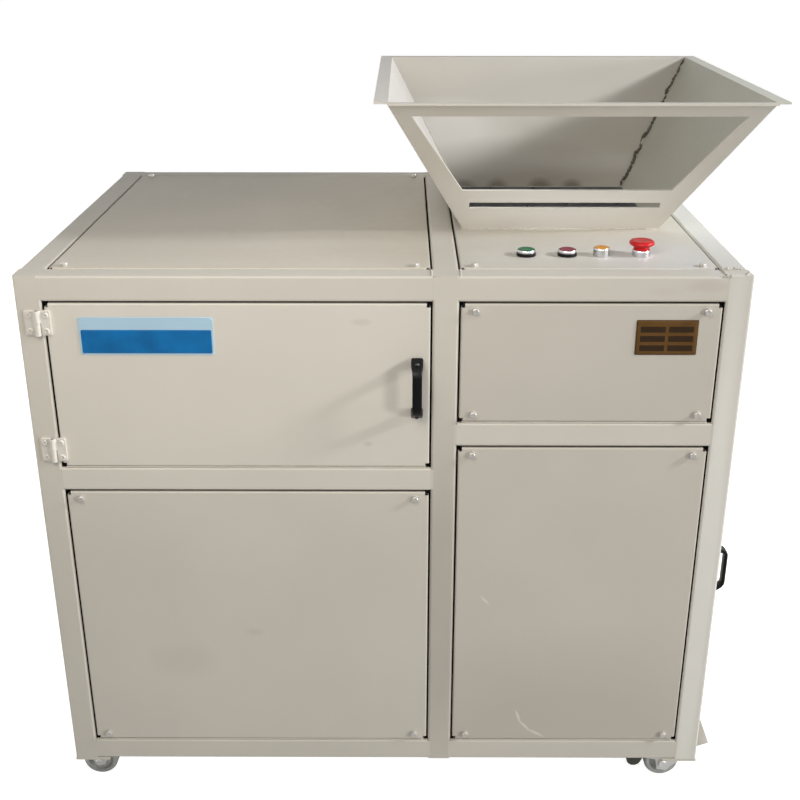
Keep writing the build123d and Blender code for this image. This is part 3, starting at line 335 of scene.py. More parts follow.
SLOT_FINISH: dict[Slot, Finish] = {
    Slot.PAINT: PAINT, Slot.STEEL: STEEL, Slot.CUTTER: CUTTER, Slot.ZINC: ZINC, Slot.CHROME: CHROME,
    Slot.BLACK: BLACK, Slot.DARK: DARK, Slot.GREEN: GREEN, Slot.RED: RED, Slot.YELLOW: YELLOW,
    Slot.DRIVE: DRIVE, Slot.MOTOR: MOTOR, Slot.IRON: IRON, Slot.RUBBER: RUBBER,
}
NODE_FINISH: dict[str, Finish] = {
    "brake_pedal_front": PEDAL,
    "brake_pedal_rear": PEDAL,
    # a shade lighter as painted light on the mid rails
    "frame_mid_rails": shaded("rail_paint", (212, 206, 194)),
    # a shade lighter as painted light on the hopper's left wall, which faces the side lamps
    "hopper_left_wall": shaded("left_wall_paint", (218, 212, 204)),
    # a darker greenish shade as painted shade on the hopper's right wall
    "hopper_right_wall": shaded("right_wall_paint", (201, 200, 185)),
    # a shade darker as painted shade on the upper right panel
    "front_upper_right_panel": shaded("upper_right_paint", (200, 193, 181)),
    # painted light and shade on the rear wall: its paint a shade darker, a painted highlight on the upper
    # left, a broad darker lower part that is partly grime and partly painted shade, and dark spots at the
    # foot
    "hopper_rear_wall": shaded(
        "rear_wall_paint_with_painted_light_and_shade", (198, 192, 181),
        Mark((110.0, 285.0, 1085.0), (170.0, 70.0, 75.0), (226, 221, 214), 0.7),
        Mark((230.0, 250.0, 985.0), (260.0, 90.0, 100.0), (140, 132, 120), 0.6),
        dark_foot_spot(217.0, 979.0, 26.0, 24.0, 0.75),
        dark_foot_spot(302.0, 979.0, 30.0, 25.0, 0.8),
        dark_foot_spot(366.0, 979.0, 25.0, 22.0, 0.75),
        dark_foot_spot(150.0, 981.0, 30.0, 18.0, 0.6)),
    # painted highlight on top of the rails' right end; the two front marks are weld stains
    "frame_top_rails": shaded(
        "top_rail_paint_with_painted_highlight_and_weld_stains", PAINT.colour,
        Mark((535.0, 0.0, TOP_Z), (70.0, 520.0, 60.0), (224, 223, 220), 0.75),
        front_mark(492.0, 966.0, (48.0, 14.0, 13.0), (190, 176, 163), 0.35),
        front_mark(420.0, 957.0, (30.0, 12.0, 8.0), (192, 180, 168), 0.25)),
    # painted shade down the centre post's front and a painted highlight down the right post
    "frame_posts": shaded(
        "post_paint_with_painted_shade_and_highlight", PAINT.colour,
        front_mark(95.0, 400.0, (60.0, 20.0, 420.0), (172, 164, 153), 0.6),
        front_mark(531.0, 430.0, (32.0, 30.0, 760.0), (240, 238, 230), 0.62)),
    # paint a shade lighter as painted light, and a painted shadow of the hopper over the cover's right part
    "top_left_cover": shaded(
        "left_cover_paint_with_painted_hopper_shadow", (208, 200, 185),
        Mark((50.0, 60.0, TOP_Z), (270.0, 420.0, 60.0), (188, 181, 164), 0.85)),
    # painted highlight on the cover to the right of the buttons
    "top_right_cover": shaded(
        "right_cover_paint_with_painted_highlight", PAINT.colour,
        Mark((440.0, -290.0, TOP_Z), (130.0, 150.0, 60.0), (216, 214, 210), 0.6)),
    # painted light on the bin's toe lip
    "bin_front": shaded(
        "bin_paint_with_painted_light_on_toe", PAINT.colour,
        Mark((612.0, 0.0, 100.0), (44.0, 900.0, 110.0), (240, 238, 233), 0.8)),
    # paint a shade darker and darker towards the bottom, as painted shade; then a scratch in three stretches
    # and a pale mark
    "front_lower_right_panel": shaded(
        "lower_right_paint_with_scratches_and_painted_shade", (202, 195, 183),
        front_mark(315.0, 120.0, (420.0, 40.0, 260.0), (188, 180, 168), 0.7),
        scratch(233.0, 178.8, 17.0, 70.6),
        scratch(245.0, 158.5, 18.0, 47.8),
        scratch(265.6, 142.8, 21.0, 28.6),
        front_mark(168.0, 417.0, (14.0, 5.0, 3.0), (224, 218, 208), 0.7, 48.0)),
    "front_lower_left_panel": shaded(
        "marked_lower_left_paint", PAINT.colour,
        front_mark(-345.0, 295.0, (70.0, 10.0, 46.0), (192, 185, 174), 0.3),
        front_mark(-221.0, 353.0, (20.0, 6.0, 8.0), (186, 178, 167), 0.35)),
    # paint a shade lighter as painted light, with two smudges
    "front_door": shaded(
        "door_paint_with_smudges_and_painted_light", (214, 208, 196),
        front_mark(-25.0, 706.0, (9.0, 5.0, 6.0), (182, 174, 162), 0.4),
        front_mark(-33.0, 909.0, (20.0, 5.0, 7.0), (190, 183, 172), 0.4)),
}


# Surfaces

MERGE = 2e-7
SLIVER = 1e-8
FACE_RING = 0.12


def grid_faces(rows: int, cols: int) -> np.ndarray:
    """Lists the quads of a grid of closed rings, each from a point to its neighbours.

    Args:
        rows: Number of rings.
        cols: Number of points in each ring.

    Returns:
        Array of four point numbers for each quad.
    """
    row, col = (index.ravel() for index in np.indices((rows - 1, cols)))
    beside = (col + 1) % cols
    corners = ((row, col), (row, beside), (row + 1, beside), (row + 1, col))
    return np.stack([ring * cols + point for ring, point in corners], axis=1)


def soften(points: np.ndarray, radius: float, steps: int = 4) -> np.ndarray:
    """Rounds the inner corners of an open line with quadratic curves.

    Each corner p becomes (1-t)^2 a + 2 t (1-t) p + t^2 b, where a and b lie the radius
    before and after it, or 0.45 of the shorter neighbouring side.

    Args:
        points: Corner points, one row each.
        radius: Distance from a corner to where its curve starts.
        steps: Points on each curve.

    Returns:
        The points of the rounded line.
    """
    sides = np.diff(points, axis=0)
    length = np.linalg.norm(sides, axis=1, keepdims=True)
    way = sides / np.maximum(length, 1e-12)
    cut = np.minimum(radius, 0.45 * np.minimum(length[:-1], length[1:]))
    corner = points[1:-1]
    start, end = corner - way[:-1] * cut, corner + way[1:] * cut
    t = np.linspace(0, 1, steps)[None, :, None]
    curves = (1 - t) ** 2 * start[:, None] + 2 * t * (1 - t) * corner[:, None] + t**2 * end[:, None]
    return np.concatenate([points[:1], curves.reshape(-1, points.shape[1]), points[-1:]])


def even_points(corners: np.ndarray, count: int) -> tuple[np.ndarray, np.ndarray]:
    """Spaces points evenly along a line.

    Args:
        corners: Corner points of the line, one row each.
        count: Number of points.

    Returns:
        The distance of each point from the line's start, and the points.
    """
    run = np.concatenate([[0], np.cumsum(np.linalg.norm(np.diff(corners, axis=0), axis=1))])
    even = np.linspace(0, run[-1], count)
    return even, np.stack([np.interp(even, run, column) for column in corners.T], axis=1)


def rounded_outline(width: float, height: float, radius: float, steps: int = 5) -> np.ndarray:
    """Gives the closed outline of a rectangle with round corners, anticlockwise from the lower right.

    Each corner is a quarter circle about a centre that lies the radius inside both sides.
    """
    turn = (np.arange(4)[:, None] * 90 - 90 + np.linspace(0, 90, steps)[None, :]) * np.pi / 180
    sign = np.array([[1, -1], [1, 1], [-1, 1], [-1, -1]], float)
    centre = sign * (np.array([width, height]) / 2 - radius)
    ring = np.stack([np.cos(turn), np.sin(turn)], axis=2) * radius
    return (centre[:, None] + ring).reshape(-1, 2)


@dataclass(frozen=True)
class Place:
    """A local frame: an origin in millimetres, two directions on a surface and its outward normal."""

    origin: Point
    across: Point
    along: Point
    out: Point

    def locate(self, local: np.ndarray) -> np.ndarray:
        """Takes local millimetres to the part's frame: origin + a across + b along + c out."""
        return np.array(self.origin) + local @ np.array([self.across, self.along, self.out], float)

    def put(self, local: np.ndarray) -> np.ndarray:
        """Takes local millimetres to the part's frame in metres."""
        return self.locate(local) * MM

    def moved(self, across: float, along: float, out: float = 0.0) -> "Place":
        """Gives the same frame from another origin, in local millimetres."""
        return replace(self, origin=tuple(self.locate(np.array([across, along, out])).tolist()))


FRONT_AXES = ((1, 0, 0), (0, 0, 1), (0, -1, 0))
REAR_AXES = ((-1, 0, 0), (0, 0, 1), (0, 1, 0))
LEFT_AXES = ((0, -1, 0), (0, 0, 1), (-1, 0, 0))
RIGHT_AXES = ((0, 1, 0), (0, 0, 1), (1, 0, 0))
TOP_AXES = ((1, 0, 0), (0, 1, 0), (0, 0, 1))
UPRIGHT_AXES = ((1, 0, 0), (0, -1, 0), (0, 0, 1))


def on_front(x: float, z: float) -> Place:
    """Gives a frame on the cabinet's front."""
    return Place((x, FRONT_Y, z), *FRONT_AXES)


def revolve(profile: np.ndarray, steps: int = 40) -> np.ndarray:
    """Turns a profile of radius and height about the local normal: (r cos a, r sin a, h)."""
    turn = np.linspace(0, 2 * np.pi, steps, endpoint=False)[None, :]
    radius, height = profile[:, :1], profile[:, 1:]
    return np.stack([radius * np.cos(turn), radius * np.sin(turn), height + 0 * turn], axis=2)


def hex_head(flats: float, height: float) -> np.ndarray:
    """Gives a bolt head on its washer face: six flats, a round chamfer and a shallow dish.

    The hexagon's radius at an angle a is (flats / 2) / cos(a), with a within 30 degrees of the
    nearest flat; the washer face and the rings above the chamfer are round.
    """
    turn = np.linspace(0, 2 * np.pi, 36, endpoint=False)
    half = flats / 2
    flat = half / np.cos((turn + np.pi / 6) % (np.pi / 3) - np.pi / 6)
    shares = np.array([[0.0, 0.02], [1.1, 0.02], [1.1, 0.09], [2.0, 0.11], [2.0, 0.72], [1.02, 0.9],
                       [0.86, 1.0], [0.45, 0.97], [0.0, 0.95]])
    rings = shares * np.array([half, height])
    radius = np.minimum(flat[None], rings[:, :1])
    radius[1:3] = rings[1:3, :1]
    return np.stack([radius * np.cos(turn), radius * np.sin(turn), rings[:, 1:] + 0 * radius], axis=2)


def plate(outline: np.ndarray, levels: np.ndarray) -> np.ndarray:
    """Stacks an outline into a plate: each level gives an inset and a height, and the ends are closed.

    A point at outline (x, y) and level (d, h) goes to (x (1 - 2d/w), y (1 - 2d/v), h), where w and v
    are the outline's width and height; both faces get a ring a little inside their edge, so that
    shading stays flat, and then shrink to the middle.
    """
    half = np.abs(outline).max(axis=0)
    inner = levels[[0, -1]] + np.array([FACE_RING * half.min(), 0])
    levels = np.concatenate([inner[:1], levels, inner[1:]])
    scale = 1 - levels[:, :1, None] / half[None, None, :]
    flat = outline[None] * scale
    grid = np.concatenate([flat, np.broadcast_to(levels[:, 1:, None], (*flat.shape[:2], 1))], axis=2)
    first, last = grid[:1] * np.array([0, 0, 1]), grid[-1:] * np.array([0, 0, 1])
    return np.concatenate([first, grid, last])


def slab(width: float, height: float, radius: float, levels: tuple[tuple[float, float], ...],
         steps: int = 5) -> np.ndarray:
    """Gives a plate whose outline is a rectangle with round corners, from its insets and heights."""
    return plate(rounded_outline(width, height, radius, steps), np.array(levels, float))


def sweep(path: np.ndarray, section: np.ndarray, up: np.ndarray, scale: np.ndarray) -> np.ndarray:
    """Carries a closed section along a path and closes both ends.

    At each station the section's x runs along tangent x up, and its y along the path's own normal.

    Args:
        path: Stations, one row each.
        section: Points of the section.
        up: A direction that is never along the path.
        scale: Factor on the section's x and y at each station.

    Returns:
        Grid of stations by section points.
    """
    tangent = np.gradient(path, axis=0)
    tangent /= np.linalg.norm(tangent, axis=1, keepdims=True)
    side = np.cross(tangent, up)
    side /= np.linalg.norm(side, axis=1, keepdims=True)
    normal = np.cross(side, tangent)
    shape = section[None] * scale[:, None]
    grid = path[:, None] + shape[:, :, :1] * side[:, None] + shape[:, :, 1:] * normal[:, None]
    ends = np.broadcast_to(path[[0, -1], None], (2, *grid.shape[1:]))
    return np.concatenate([ends[:1], grid, ends[1:]])


class Shape:
    """Gathers grid surfaces as arrays and turns them into one object."""

    def __init__(self) -> None:
        """Starts with no surfaces."""
        self.points: list[np.ndarray] = []
        self.faces: list[np.ndarray] = []
        self.count = 0

    def add(self, grid: np.ndarray) -> "Shape":
        """Adds one grid of closed rings in metres, or a stack of equal grids, and returns this shape."""
        rows, cols = grid.shape[-3:-1]
        copies = grid.reshape(-1, rows * cols, 3)
        start = self.count + np.arange(len(copies))[:, None, None] * rows * cols
        self.faces.append((grid_faces(rows, cols)[None] + start).reshape(-1, 4))
        self.points.append(copies.reshape(-1, 3))
        self.count += copies.shape[0] * rows * cols
        return self

    def build(self, name: str, finish: Finish, body: Body, slot: Slot,
              sharp: float = 40.0) -> bpy.types.Object:
        """Makes the object, closes its seams and poles, and lets it ride on its body.

        Args:
            name: Name of the piece.
            finish: Its finish.
            body: The CAD body that it moves with.
            slot: The record's material slot; not used.
            sharp: Angle in degrees above which an edge stays sharp.

        Returns:
            The finished object.
        """
        mesh = bpy.data.meshes.new(name)
        mesh.from_pydata(np.concatenate(self.points).tolist(), [], np.concatenate(self.faces).tolist())
        work = bmesh.new()
        work.from_mesh(mesh)
        bmesh.ops.remove_doubles(work, verts=work.verts, dist=MERGE)
        bmesh.ops.dissolve_degenerate(work, edges=work.edges, dist=SLIVER)
        bmesh.ops.recalc_face_normals(work, faces=work.faces)
        work.to_mesh(mesh)
        work.free()
        mesh.polygons.foreach_set("use_smooth", np.ones(len(mesh.polygons), bool))
        mesh.set_sharp_from_angle(angle=radians(sharp))
        mesh.materials.append(finish.material())
        piece = bpy.data.objects.new(name, mesh)
        bpy.context.scene.collection.objects.link(piece)
        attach(piece, body.value)
        log.info("piece %s: %d faces on %s", name, len(mesh.polygons), body.value)
        return piece


# The cabinet's fasteners and joints

CLEAR = 0.05


@dataclass(frozen=True)
class Bay:
    """A panel's opening in the frame: its face, and the opening's middle, width and height."""

    place: Place
    width: float
    height: float


@dataclass
class PanelBolts:
    """Bright hexagon bolts, one near each corner of every bolted panel."""

    bays: tuple[Bay, ...]
    gap: float = 3.0
    set_in: tuple[float, float] = (22.0, 12.0)
    flats: float = 10.4
    head: float = 5.5

    def corners(self, bay: Bay) -> np.ndarray:
        """Gives the four bolt places of a bay in its local frame."""
        across = bay.width / 2 - self.gap - self.set_in[0]
        along = bay.height / 2 - self.gap - self.set_in[1]
        sign = np.array([[-1, -1, 0], [1, -1, 0], [1, 1, 0], [-1, 1, 0]])
        return sign * np.array([across, along, 0])

    def build(self) -> None:
        """Builds all bolts as one piece that stands for the plain CAD bolts."""
        head = hex_head(self.flats, self.head)
        shape = Shape()
        for bay in self.bays:
            shape.add(bay.place.put(self.corners(bay)[:, None, None] + head[None]))
        piece = shape.build("panel_bolt_heads", BOLT, Body.CABINET, Slot.ZINC, sharp=30.0)
        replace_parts(piece, "panel_bolts")


@dataclass
class GapShadeStrips:
    """Black strips and corner blocks in the gaps round every panel, as painted shade deep in the gaps."""

    bays: tuple[Bay, ...]
    thickness: float = 1.1
    near: float = 3.4
    deep: float = 15.0
    backing: float = 2.6
    backing_near: float = 10.0
    corner: float = 6.0
    corner_back: float = 1.6
    end_play: float = 0.4
    edge: float = 0.3

    def strip(self, width: float, height: float, near: float, deep: float) -> np.ndarray:
        """Gives a black strip between two depths behind the face, as painted shade in the gap."""
        return slab(width, height, self.edge, ((0.0, -deep), (0.0, -near)), 2)

    def build(self) -> None:
        """Builds the strips and corner blocks of each opening as one piece.

        The top and side strips are thin in front and nearly close the gap at their back.
        """
        shape = Shape()
        back = self.corner_back
        block = self.strip(self.corner, self.corner, self.near + back, self.deep + back)
        for bay in self.bays:
            across, along = bay.width / 2 - CLEAR, bay.height / 2 - CLEAR
            for thick, near in ((self.thickness, self.near), (self.backing, self.backing_near)):
                level = self.strip(bay.width - self.end_play, thick, near, self.deep)
                upright = self.strip(thick, bay.height - self.end_play, near, self.deep)
                shape.add(bay.place.moved(0, along - thick / 2).put(level))
                for side in (-1, 1):
                    shape.add(bay.place.moved(side * (across - thick / 2), 0).put(upright))
            for side, end in product((-1, 1), repeat=2):
                spot = bay.place.moved(side * (across - self.corner / 2), end * (along - self.corner / 2))
                shape.add(spot.put(block))
        shape.build("panel_gap_shade_strips", GAP_SHADE_BLACK, Body.CABINET, Slot.BLACK, sharp=30.0)


@dataclass
class PanelSills:
    """Painted sills that fill most of the gap under each upright panel, a little behind its face."""

    bays: tuple[Bay, ...]
    height: float = 2.3
    near: float = 0.7
    deep: float = 12.0
    end_gap: float = 8.0

    def build(self) -> None:
        """Builds a strip on each bay's lower rail, with its front edges rounded, as one piece."""
        shape = Shape()
        levels = ((0.0, -self.deep), (0.0, -self.near - 0.6), (0.25, -self.near - 0.15), (0.6, -self.near))
        for bay in self.bays:
            strip = slab(bay.width - 2 * self.end_gap, self.height, 0.4, levels, 3)
            shape.add(bay.place.moved(0, (self.height - bay.height) / 2 + CLEAR).put(strip))
        shape.build("panel_sills", PAINT, Body.CABINET, Slot.PAINT)


@dataclass
class GroundJoints:
    """Ground and painted weld metal in the grooves where rails butt against the posts' round corners."""

    spots: tuple[tuple[Place, float], ...]
    width: float = 4.6
    length: float = 35.0
    depth: float = 4.0
    overlap: float = 0.4

    def build(self) -> None:
        """Builds a flush fill at each joint; its sign says on which side of the joint the post lies."""
        levels = ((0.0, -self.depth), (0.0, -0.5), (0.25, -0.1), (0.8, 0.03))
        fill = slab(self.width, self.length, 1.2, levels, 4)
        shape = Shape()
        for place, side in self.spots:
            shape.add(place.moved(side * (self.width / 2 - self.overlap), 0).put(fill))
        shape.build("ground_frame_joints", PAINT, Body.CABINET, Slot.PAINT)


@dataclass
class LeafHinge:
    """The door's two cast hinges: two leaves with screw bosses about a knuckle."""

    axis_x: float = -523.0
    heights: tuple[float, ...] = (908.0, 696.0)
    leaf: tuple[float, float] = (20.0, 40.0)
    thickness: float = 4.0
    knuckle: float = 4.5
    knuckle_out: float = 5.5
    tongue: float = 1.2
    gap: float = 0.4
    screw_out: float = 12.6
    screw_rise: float = 12.5

    def leaves(self, side: int) -> np.ndarray:
        """Gives the rounded leaf plate on one side of the knuckle, for each hinge."""
        width, top = self.leaf[0] - self.knuckle - self.gap, self.thickness
        grid = slab(width, self.leaf[1], 2.2, ((0, 0.02), (0, top - 0.9), (0.35, top - 0.25), (1.0, top)))
        middle = self.axis_x + side * (self.knuckle + self.gap + width / 2)
        return np.stack([on_front(middle, z).put(grid) for z in self.heights])

    def screws(self, side: int) -> np.ndarray:
        """Gives the pan-head screws at the top and bottom of a leaf: domes with a small recess."""
        profile = np.array([[4.9, 3.6], [4.8, 5.0], [4.1, 6.0], [3.0, 6.4], [2.4, 6.3], [2.1, 4.6],
                            [0, 4.5]])
        grid = revolve(profile, 20)
        middle = self.axis_x + side * self.screw_out
        levels = [z + sign * self.screw_rise for z in self.heights for sign in (-1, 1)]
        return np.stack([on_front(middle, z).put(grid) for z in levels])

    def barrel(self, side: int) -> np.ndarray:
        """Gives half of each knuckle with the web that joins it to its leaf.

        The section is a circle about the pin drawn out to a tongue that reaches into the leaf.
        """
        turn = np.linspace(0, 2 * np.pi, 28, endpoint=False)
        ring = np.stack([np.cos(turn), np.sin(turn)], axis=1) * self.knuckle
        drawn = (side * ring[:, 0] > 0) & (ring[:, 1] < 0)
        tongue = side * (self.knuckle + self.tongue) * np.abs(np.cos(turn)) ** 0.3
        ring[:, 0] = np.where(drawn, tongue, ring[:, 0])
        ring[:, 1] = np.maximum(ring[:, 1], CLEAR - self.knuckle_out)
        near, far = self.gap / 2, self.leaf[1] / 2
        low, high = (near, far) if side > 0 else (-far, -near)
        grid = plate(ring, np.array([[0.5, low], [0, low + 0.5], [0, high - 0.5], [0.5, high]]))
        pin_y = FRONT_Y - self.knuckle_out
        return np.stack([Place((self.axis_x, pin_y, z), *UPRIGHT_AXES).put(grid) for z in self.heights])

    def build(self) -> None:
        """Builds the leaves, knuckles and screws on the frame and on the door."""
        sides = ((-1, Body.CABINET, "hinge_frame_leaves"), (1, Body.DOOR, "hinge_door_leaves"))
        for side, body, node in sides:
            shape = Shape().add(self.leaves(side)).add(self.barrel(side)).add(self.screws(side))
            piece = shape.build(f"dressed_{node}", HINGE, body, Slot.PAINT, sharp=35.0)
            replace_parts(piece, node)


# Handles, buttons and plates


@dataclass
class BridgePull:
    """A moulded black bridge pull with sloped legs, a straight grip and a screw in each foot."""

    name: str
    places: tuple[Place, ...]
    body: Body
    node: str
    length: float = 102.0
    width: float = 19.0
    rise: float = 30.0
    grip: float = 6.0
    bend: float = 11.0
    leg: float = 27.0
    foot_thicker: float = 11.0
    foot_wider: float = 4.0
    screw_in: float = 8.5
    screw_up: float = 14.5
    screw_lean: tuple[float, float] = (0.62, 0.78)
    stations: int = 60

    def bar(self) -> np.ndarray:
        """Gives the bar: a rounded section carried up one leg, along the grip and down the other.

        The middle line runs from foot to foot through two rounded corners; the section is
        thick at the feet, which are cut flat on the face, and thins to the grip.
        """
        half, top = self.length / 2, self.rise - self.grip / 2
        rising = np.array([[9 - half, 0.0], [12 - half, 9.0], [17.5 - half, top]])
        corners = np.concatenate([rising, rising[::-1] * np.array([-1, 1])])
        even, line = even_points(soften(corners, self.bend, 9), self.stations)
        path = np.stack([np.zeros(self.stations), line[:, 0], line[:, 1]], axis=1)
        foot = np.clip(1 - np.minimum(even, even[-1] - even) / self.leg, 0, 1)
        thick = (self.grip + self.foot_thicker * foot**1.2) / self.grip
        broad = (self.width - self.foot_wider * (1 - np.clip(foot * 1.5, 0, 1))) / self.width
        section = rounded_outline(self.width, self.grip, 2.2)
        grid = sweep(path, section, np.array([1e-6, 0, 1.0]), np.stack([broad, thick], axis=1))
        grid[..., 2] = np.maximum(grid[..., 2], CLEAR)
        return grid

    def screws(self) -> np.ndarray:
        """Gives a screw head sunk in each leg: a shallow dome with a recess, leaning as the leg does."""
        profile = np.array([[3.6, -2.0], [3.6, 0.5], [3.0, 1.3], [1.8, 1.5], [1.5, 0.7], [0, 0.6]])
        cos, sin = self.screw_lean
        tilt = np.array([[1, 0, 0], [0, cos, -sin], [0, sin, cos]])
        low = revolve(profile, 18) @ tilt + np.array([0, self.screw_in - self.length / 2, self.screw_up])
        return np.stack([low, low * np.array([1, -1, 1])])

    def build(self) -> None:
        """Builds the bars and their screws and lets the bars stand for the plain CAD pulls."""
        bar, screws = self.bar(), self.screws()
        bars, heads = Shape(), Shape()
        for place in self.places:
            bars.add(place.put(bar))
            heads.add(place.put(screws))
        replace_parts(bars.build(self.name, BLACK, self.body, Slot.BLACK, sharp=35.0), self.node)
        heads.build(f"{self.name}_screws", DARK, self.body, Slot.DARK, sharp=35.0)


class Head(Enum):
    """The kinds of push-button head on the cover."""

    FLUSH = "flush"
    TALL = "tall"
    MUSHROOM = "mushroom"


@dataclass
class PushButton:
    """One push-button: gasket, bright bezel and moulded head."""

    name: str
    x: float
    head: Head
    finish: Finish
    slot: Slot
    body: Body
    node: str
    bezel_radius: float
    bezel_height: float
    lip: float = 1.6
    play: float = 0.4
    gasket_top: float = 5.4
    gasket_out: float = 0.6
    cap_rise: float = 1.0
    y: float = -266.0

    def bezel(self) -> np.ndarray:
        """Gives the bezel: a turned ring with a rounded lip, open in the middle."""
        outer, height = self.bezel_radius, self.bezel_height
        inner = outer - self.lip
        foot = self.gasket_top - 0.3 if self.head is Head.FLUSH else CLEAR
        start = [inner + 0.1, foot]
        corners = np.array([start, [outer, foot], [outer, height - 1.8], [outer - 0.9, height],
                            [inner + 0.3, height], [inner, height - 0.8], [inner, 1.2]])
        return revolve(np.concatenate([soften(corners, 0.7), [start]]), 56)

    def gasket(self) -> np.ndarray:
        """Gives the black ring between bezel and cover."""
        inner, outer = self.bezel_radius - self.lip + 0.2, self.bezel_radius + self.gasket_out
        top = self.gasket_top
        corners = np.array([[inner, CLEAR], [outer, CLEAR], [outer, top], [inner, top], [inner, CLEAR]])
        return revolve(soften(corners, 0.6), 56)

    def cap(self) -> np.ndarray:
        """Gives the moving head's profile turned about its axis: a dished or domed top on a skirt."""
        height, radius = self.bezel_height, self.bezel_radius - self.lip - self.play
        if self.head is Head.MUSHROOM:
            corners = np.array([[8.5, -18.0], [8.5, 5.5], [radius, 5.5], [radius, height + 4.6],
                                [16.5, 16.6], [19.9, 19.2], [19.9, 22.0], [17.6, 24.6], [12.5, 25.3],
                                [10.5, 24.7], [0.0, 24.9]])
            return revolve(soften(corners, 1.3, 5), 64)
        top = height + self.cap_rise
        corners = np.array([[8.4, -18.0], [8.4, 5.6], [radius, 5.6], [radius, top - 0.9],
                            [radius - 0.9, top - 0.1], [6.0, top - 0.5], [0.0, top - 0.6]])
        return revolve(soften(corners, 0.7), 48)

    def build(self, bezels: Shape, gaskets: Shape) -> None:
        """Adds the bezel and gasket to shared pieces and builds the moving head.

        Args:
            bezels: The piece that gathers the bezels.
            gaskets: The piece that gathers the gaskets.
        """
        place = Place((self.x, self.y, TOP_Z), *TOP_AXES)
        bezels.add(place.put(self.bezel()))
        if self.head is Head.FLUSH:
            gaskets.add(place.put(self.gasket()))
        cap = Shape().add(place.put(self.cap()))
        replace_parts(cap.build(self.name, self.finish, self.body, self.slot, sharp=50.0), self.node)


@dataclass
class ControlRow:
    """The row of four push-buttons in front of the hopper."""

    buttons: tuple[PushButton, ...] = (
        PushButton("green_start_head", 225.0, Head.FLUSH, GREEN, Slot.GREEN, Body.START,
                   "start_button", 14.7, 10.0),
        PushButton("red_stop_head", 290.0, Head.FLUSH, CRIMSON, Slot.RED, Body.STOP,
                   "stop_button", 14.7, 10.0),
        PushButton("yellow_reverse_head", 344.0, Head.TALL, YELLOW, Slot.YELLOW, Body.REVERSE,
                   "reverse_button", 13.2, 13.0),
        PushButton("emergency_mushroom", 407.0, Head.MUSHROOM, RED, Slot.RED, Body.EMERGENCY,
                   "emergency_stop", 14.6, 10.0),
    )

    def build(self) -> None:
        """Builds the four buttons with one piece for all bezels and one for the gaskets."""
        bezels, gaskets = Shape(), Shape()
        for button in self.buttons:
            button.build(bezels, gaskets)
        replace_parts(bezels.build("turned_bezels", CHROME, Body.CABINET, Slot.CHROME), "button_bezels")
        gaskets.build("button_gaskets", BLACK, Body.CABINET, Slot.BLACK)


@dataclass
class BlankBadge:
    """A blank enamelled badge: a pale rectangular plate with a plain blue field under its top band."""

    place: Place
    size: tuple[float, float] = (205.0, 61.0)
    field: tuple[float, float] = (199.0, 38.0)
    margin: float = 3.0

    def build(self) -> None:
        """Builds the pale plate and the blue field on it as thin plates with rounded corners."""
        pale = slab(*self.size, 4.0, ((0, 0.03), (0, 0.6), (0.3, 0.9)))
        blue = slab(*self.field, 2.5, ((0, 0.5), (0, 1.1), (0.2, 1.25)))
        low = self.margin - (self.size[1] - self.field[1]) / 2
        Shape().add(self.place.put(pale)).build("badge_pale_plate", PALE_BLUE, Body.DOOR, Slot.PAINT)
        field = Shape().add(self.place.moved(0, low).put(blue))
        field.build("badge_blue_field", BLUE, Body.DOOR, Slot.PAINT)


@dataclass
class BlankLabel:
    """A blank bronze plate with a narrow dull border and rows of empty etched fields."""

    place: Place
    width: float = 94.0
    height: float = 56.0
    rim: float = 1.2
    field: tuple[float, float] = (38.0, 9.5)
    columns: tuple[float, ...] = (-21.5, 21.5)
    rows: tuple[float, ...] = (-17.0, -2.0, 13.0)

    def build(self) -> None:
        """Builds the border, the face and the fields as thin plates on the panel."""
        edge = 2 * self.rim
        border = slab(self.width, self.height, 1.5, ((0, 0.03), (0, 0.7), (0.25, 0.9)))
        face = slab(self.width - edge, self.height - edge, 1.0, ((0, 0.5), (0, 1.0), (0.15, 1.1)))
        panel = slab(*self.field, 0.8, ((0, 0.9), (0, 1.12), (0.1, 1.16)), 3)
        Shape().add(self.place.put(border)).build("label_border", BRONZE_EDGE, Body.CABINET, Slot.PAINT)
        Shape().add(self.place.put(face)).build("label_face", BRONZE, Body.CABINET, Slot.PAINT)
        etched = Shape()
        for across, along in product(self.columns, self.rows):
            etched.add(self.place.moved(across, along).put(panel))
        etched.build("label_fields", ETCHED, Body.CABINET, Slot.PAINT)


# Welds

Run = tuple[Point, Point]


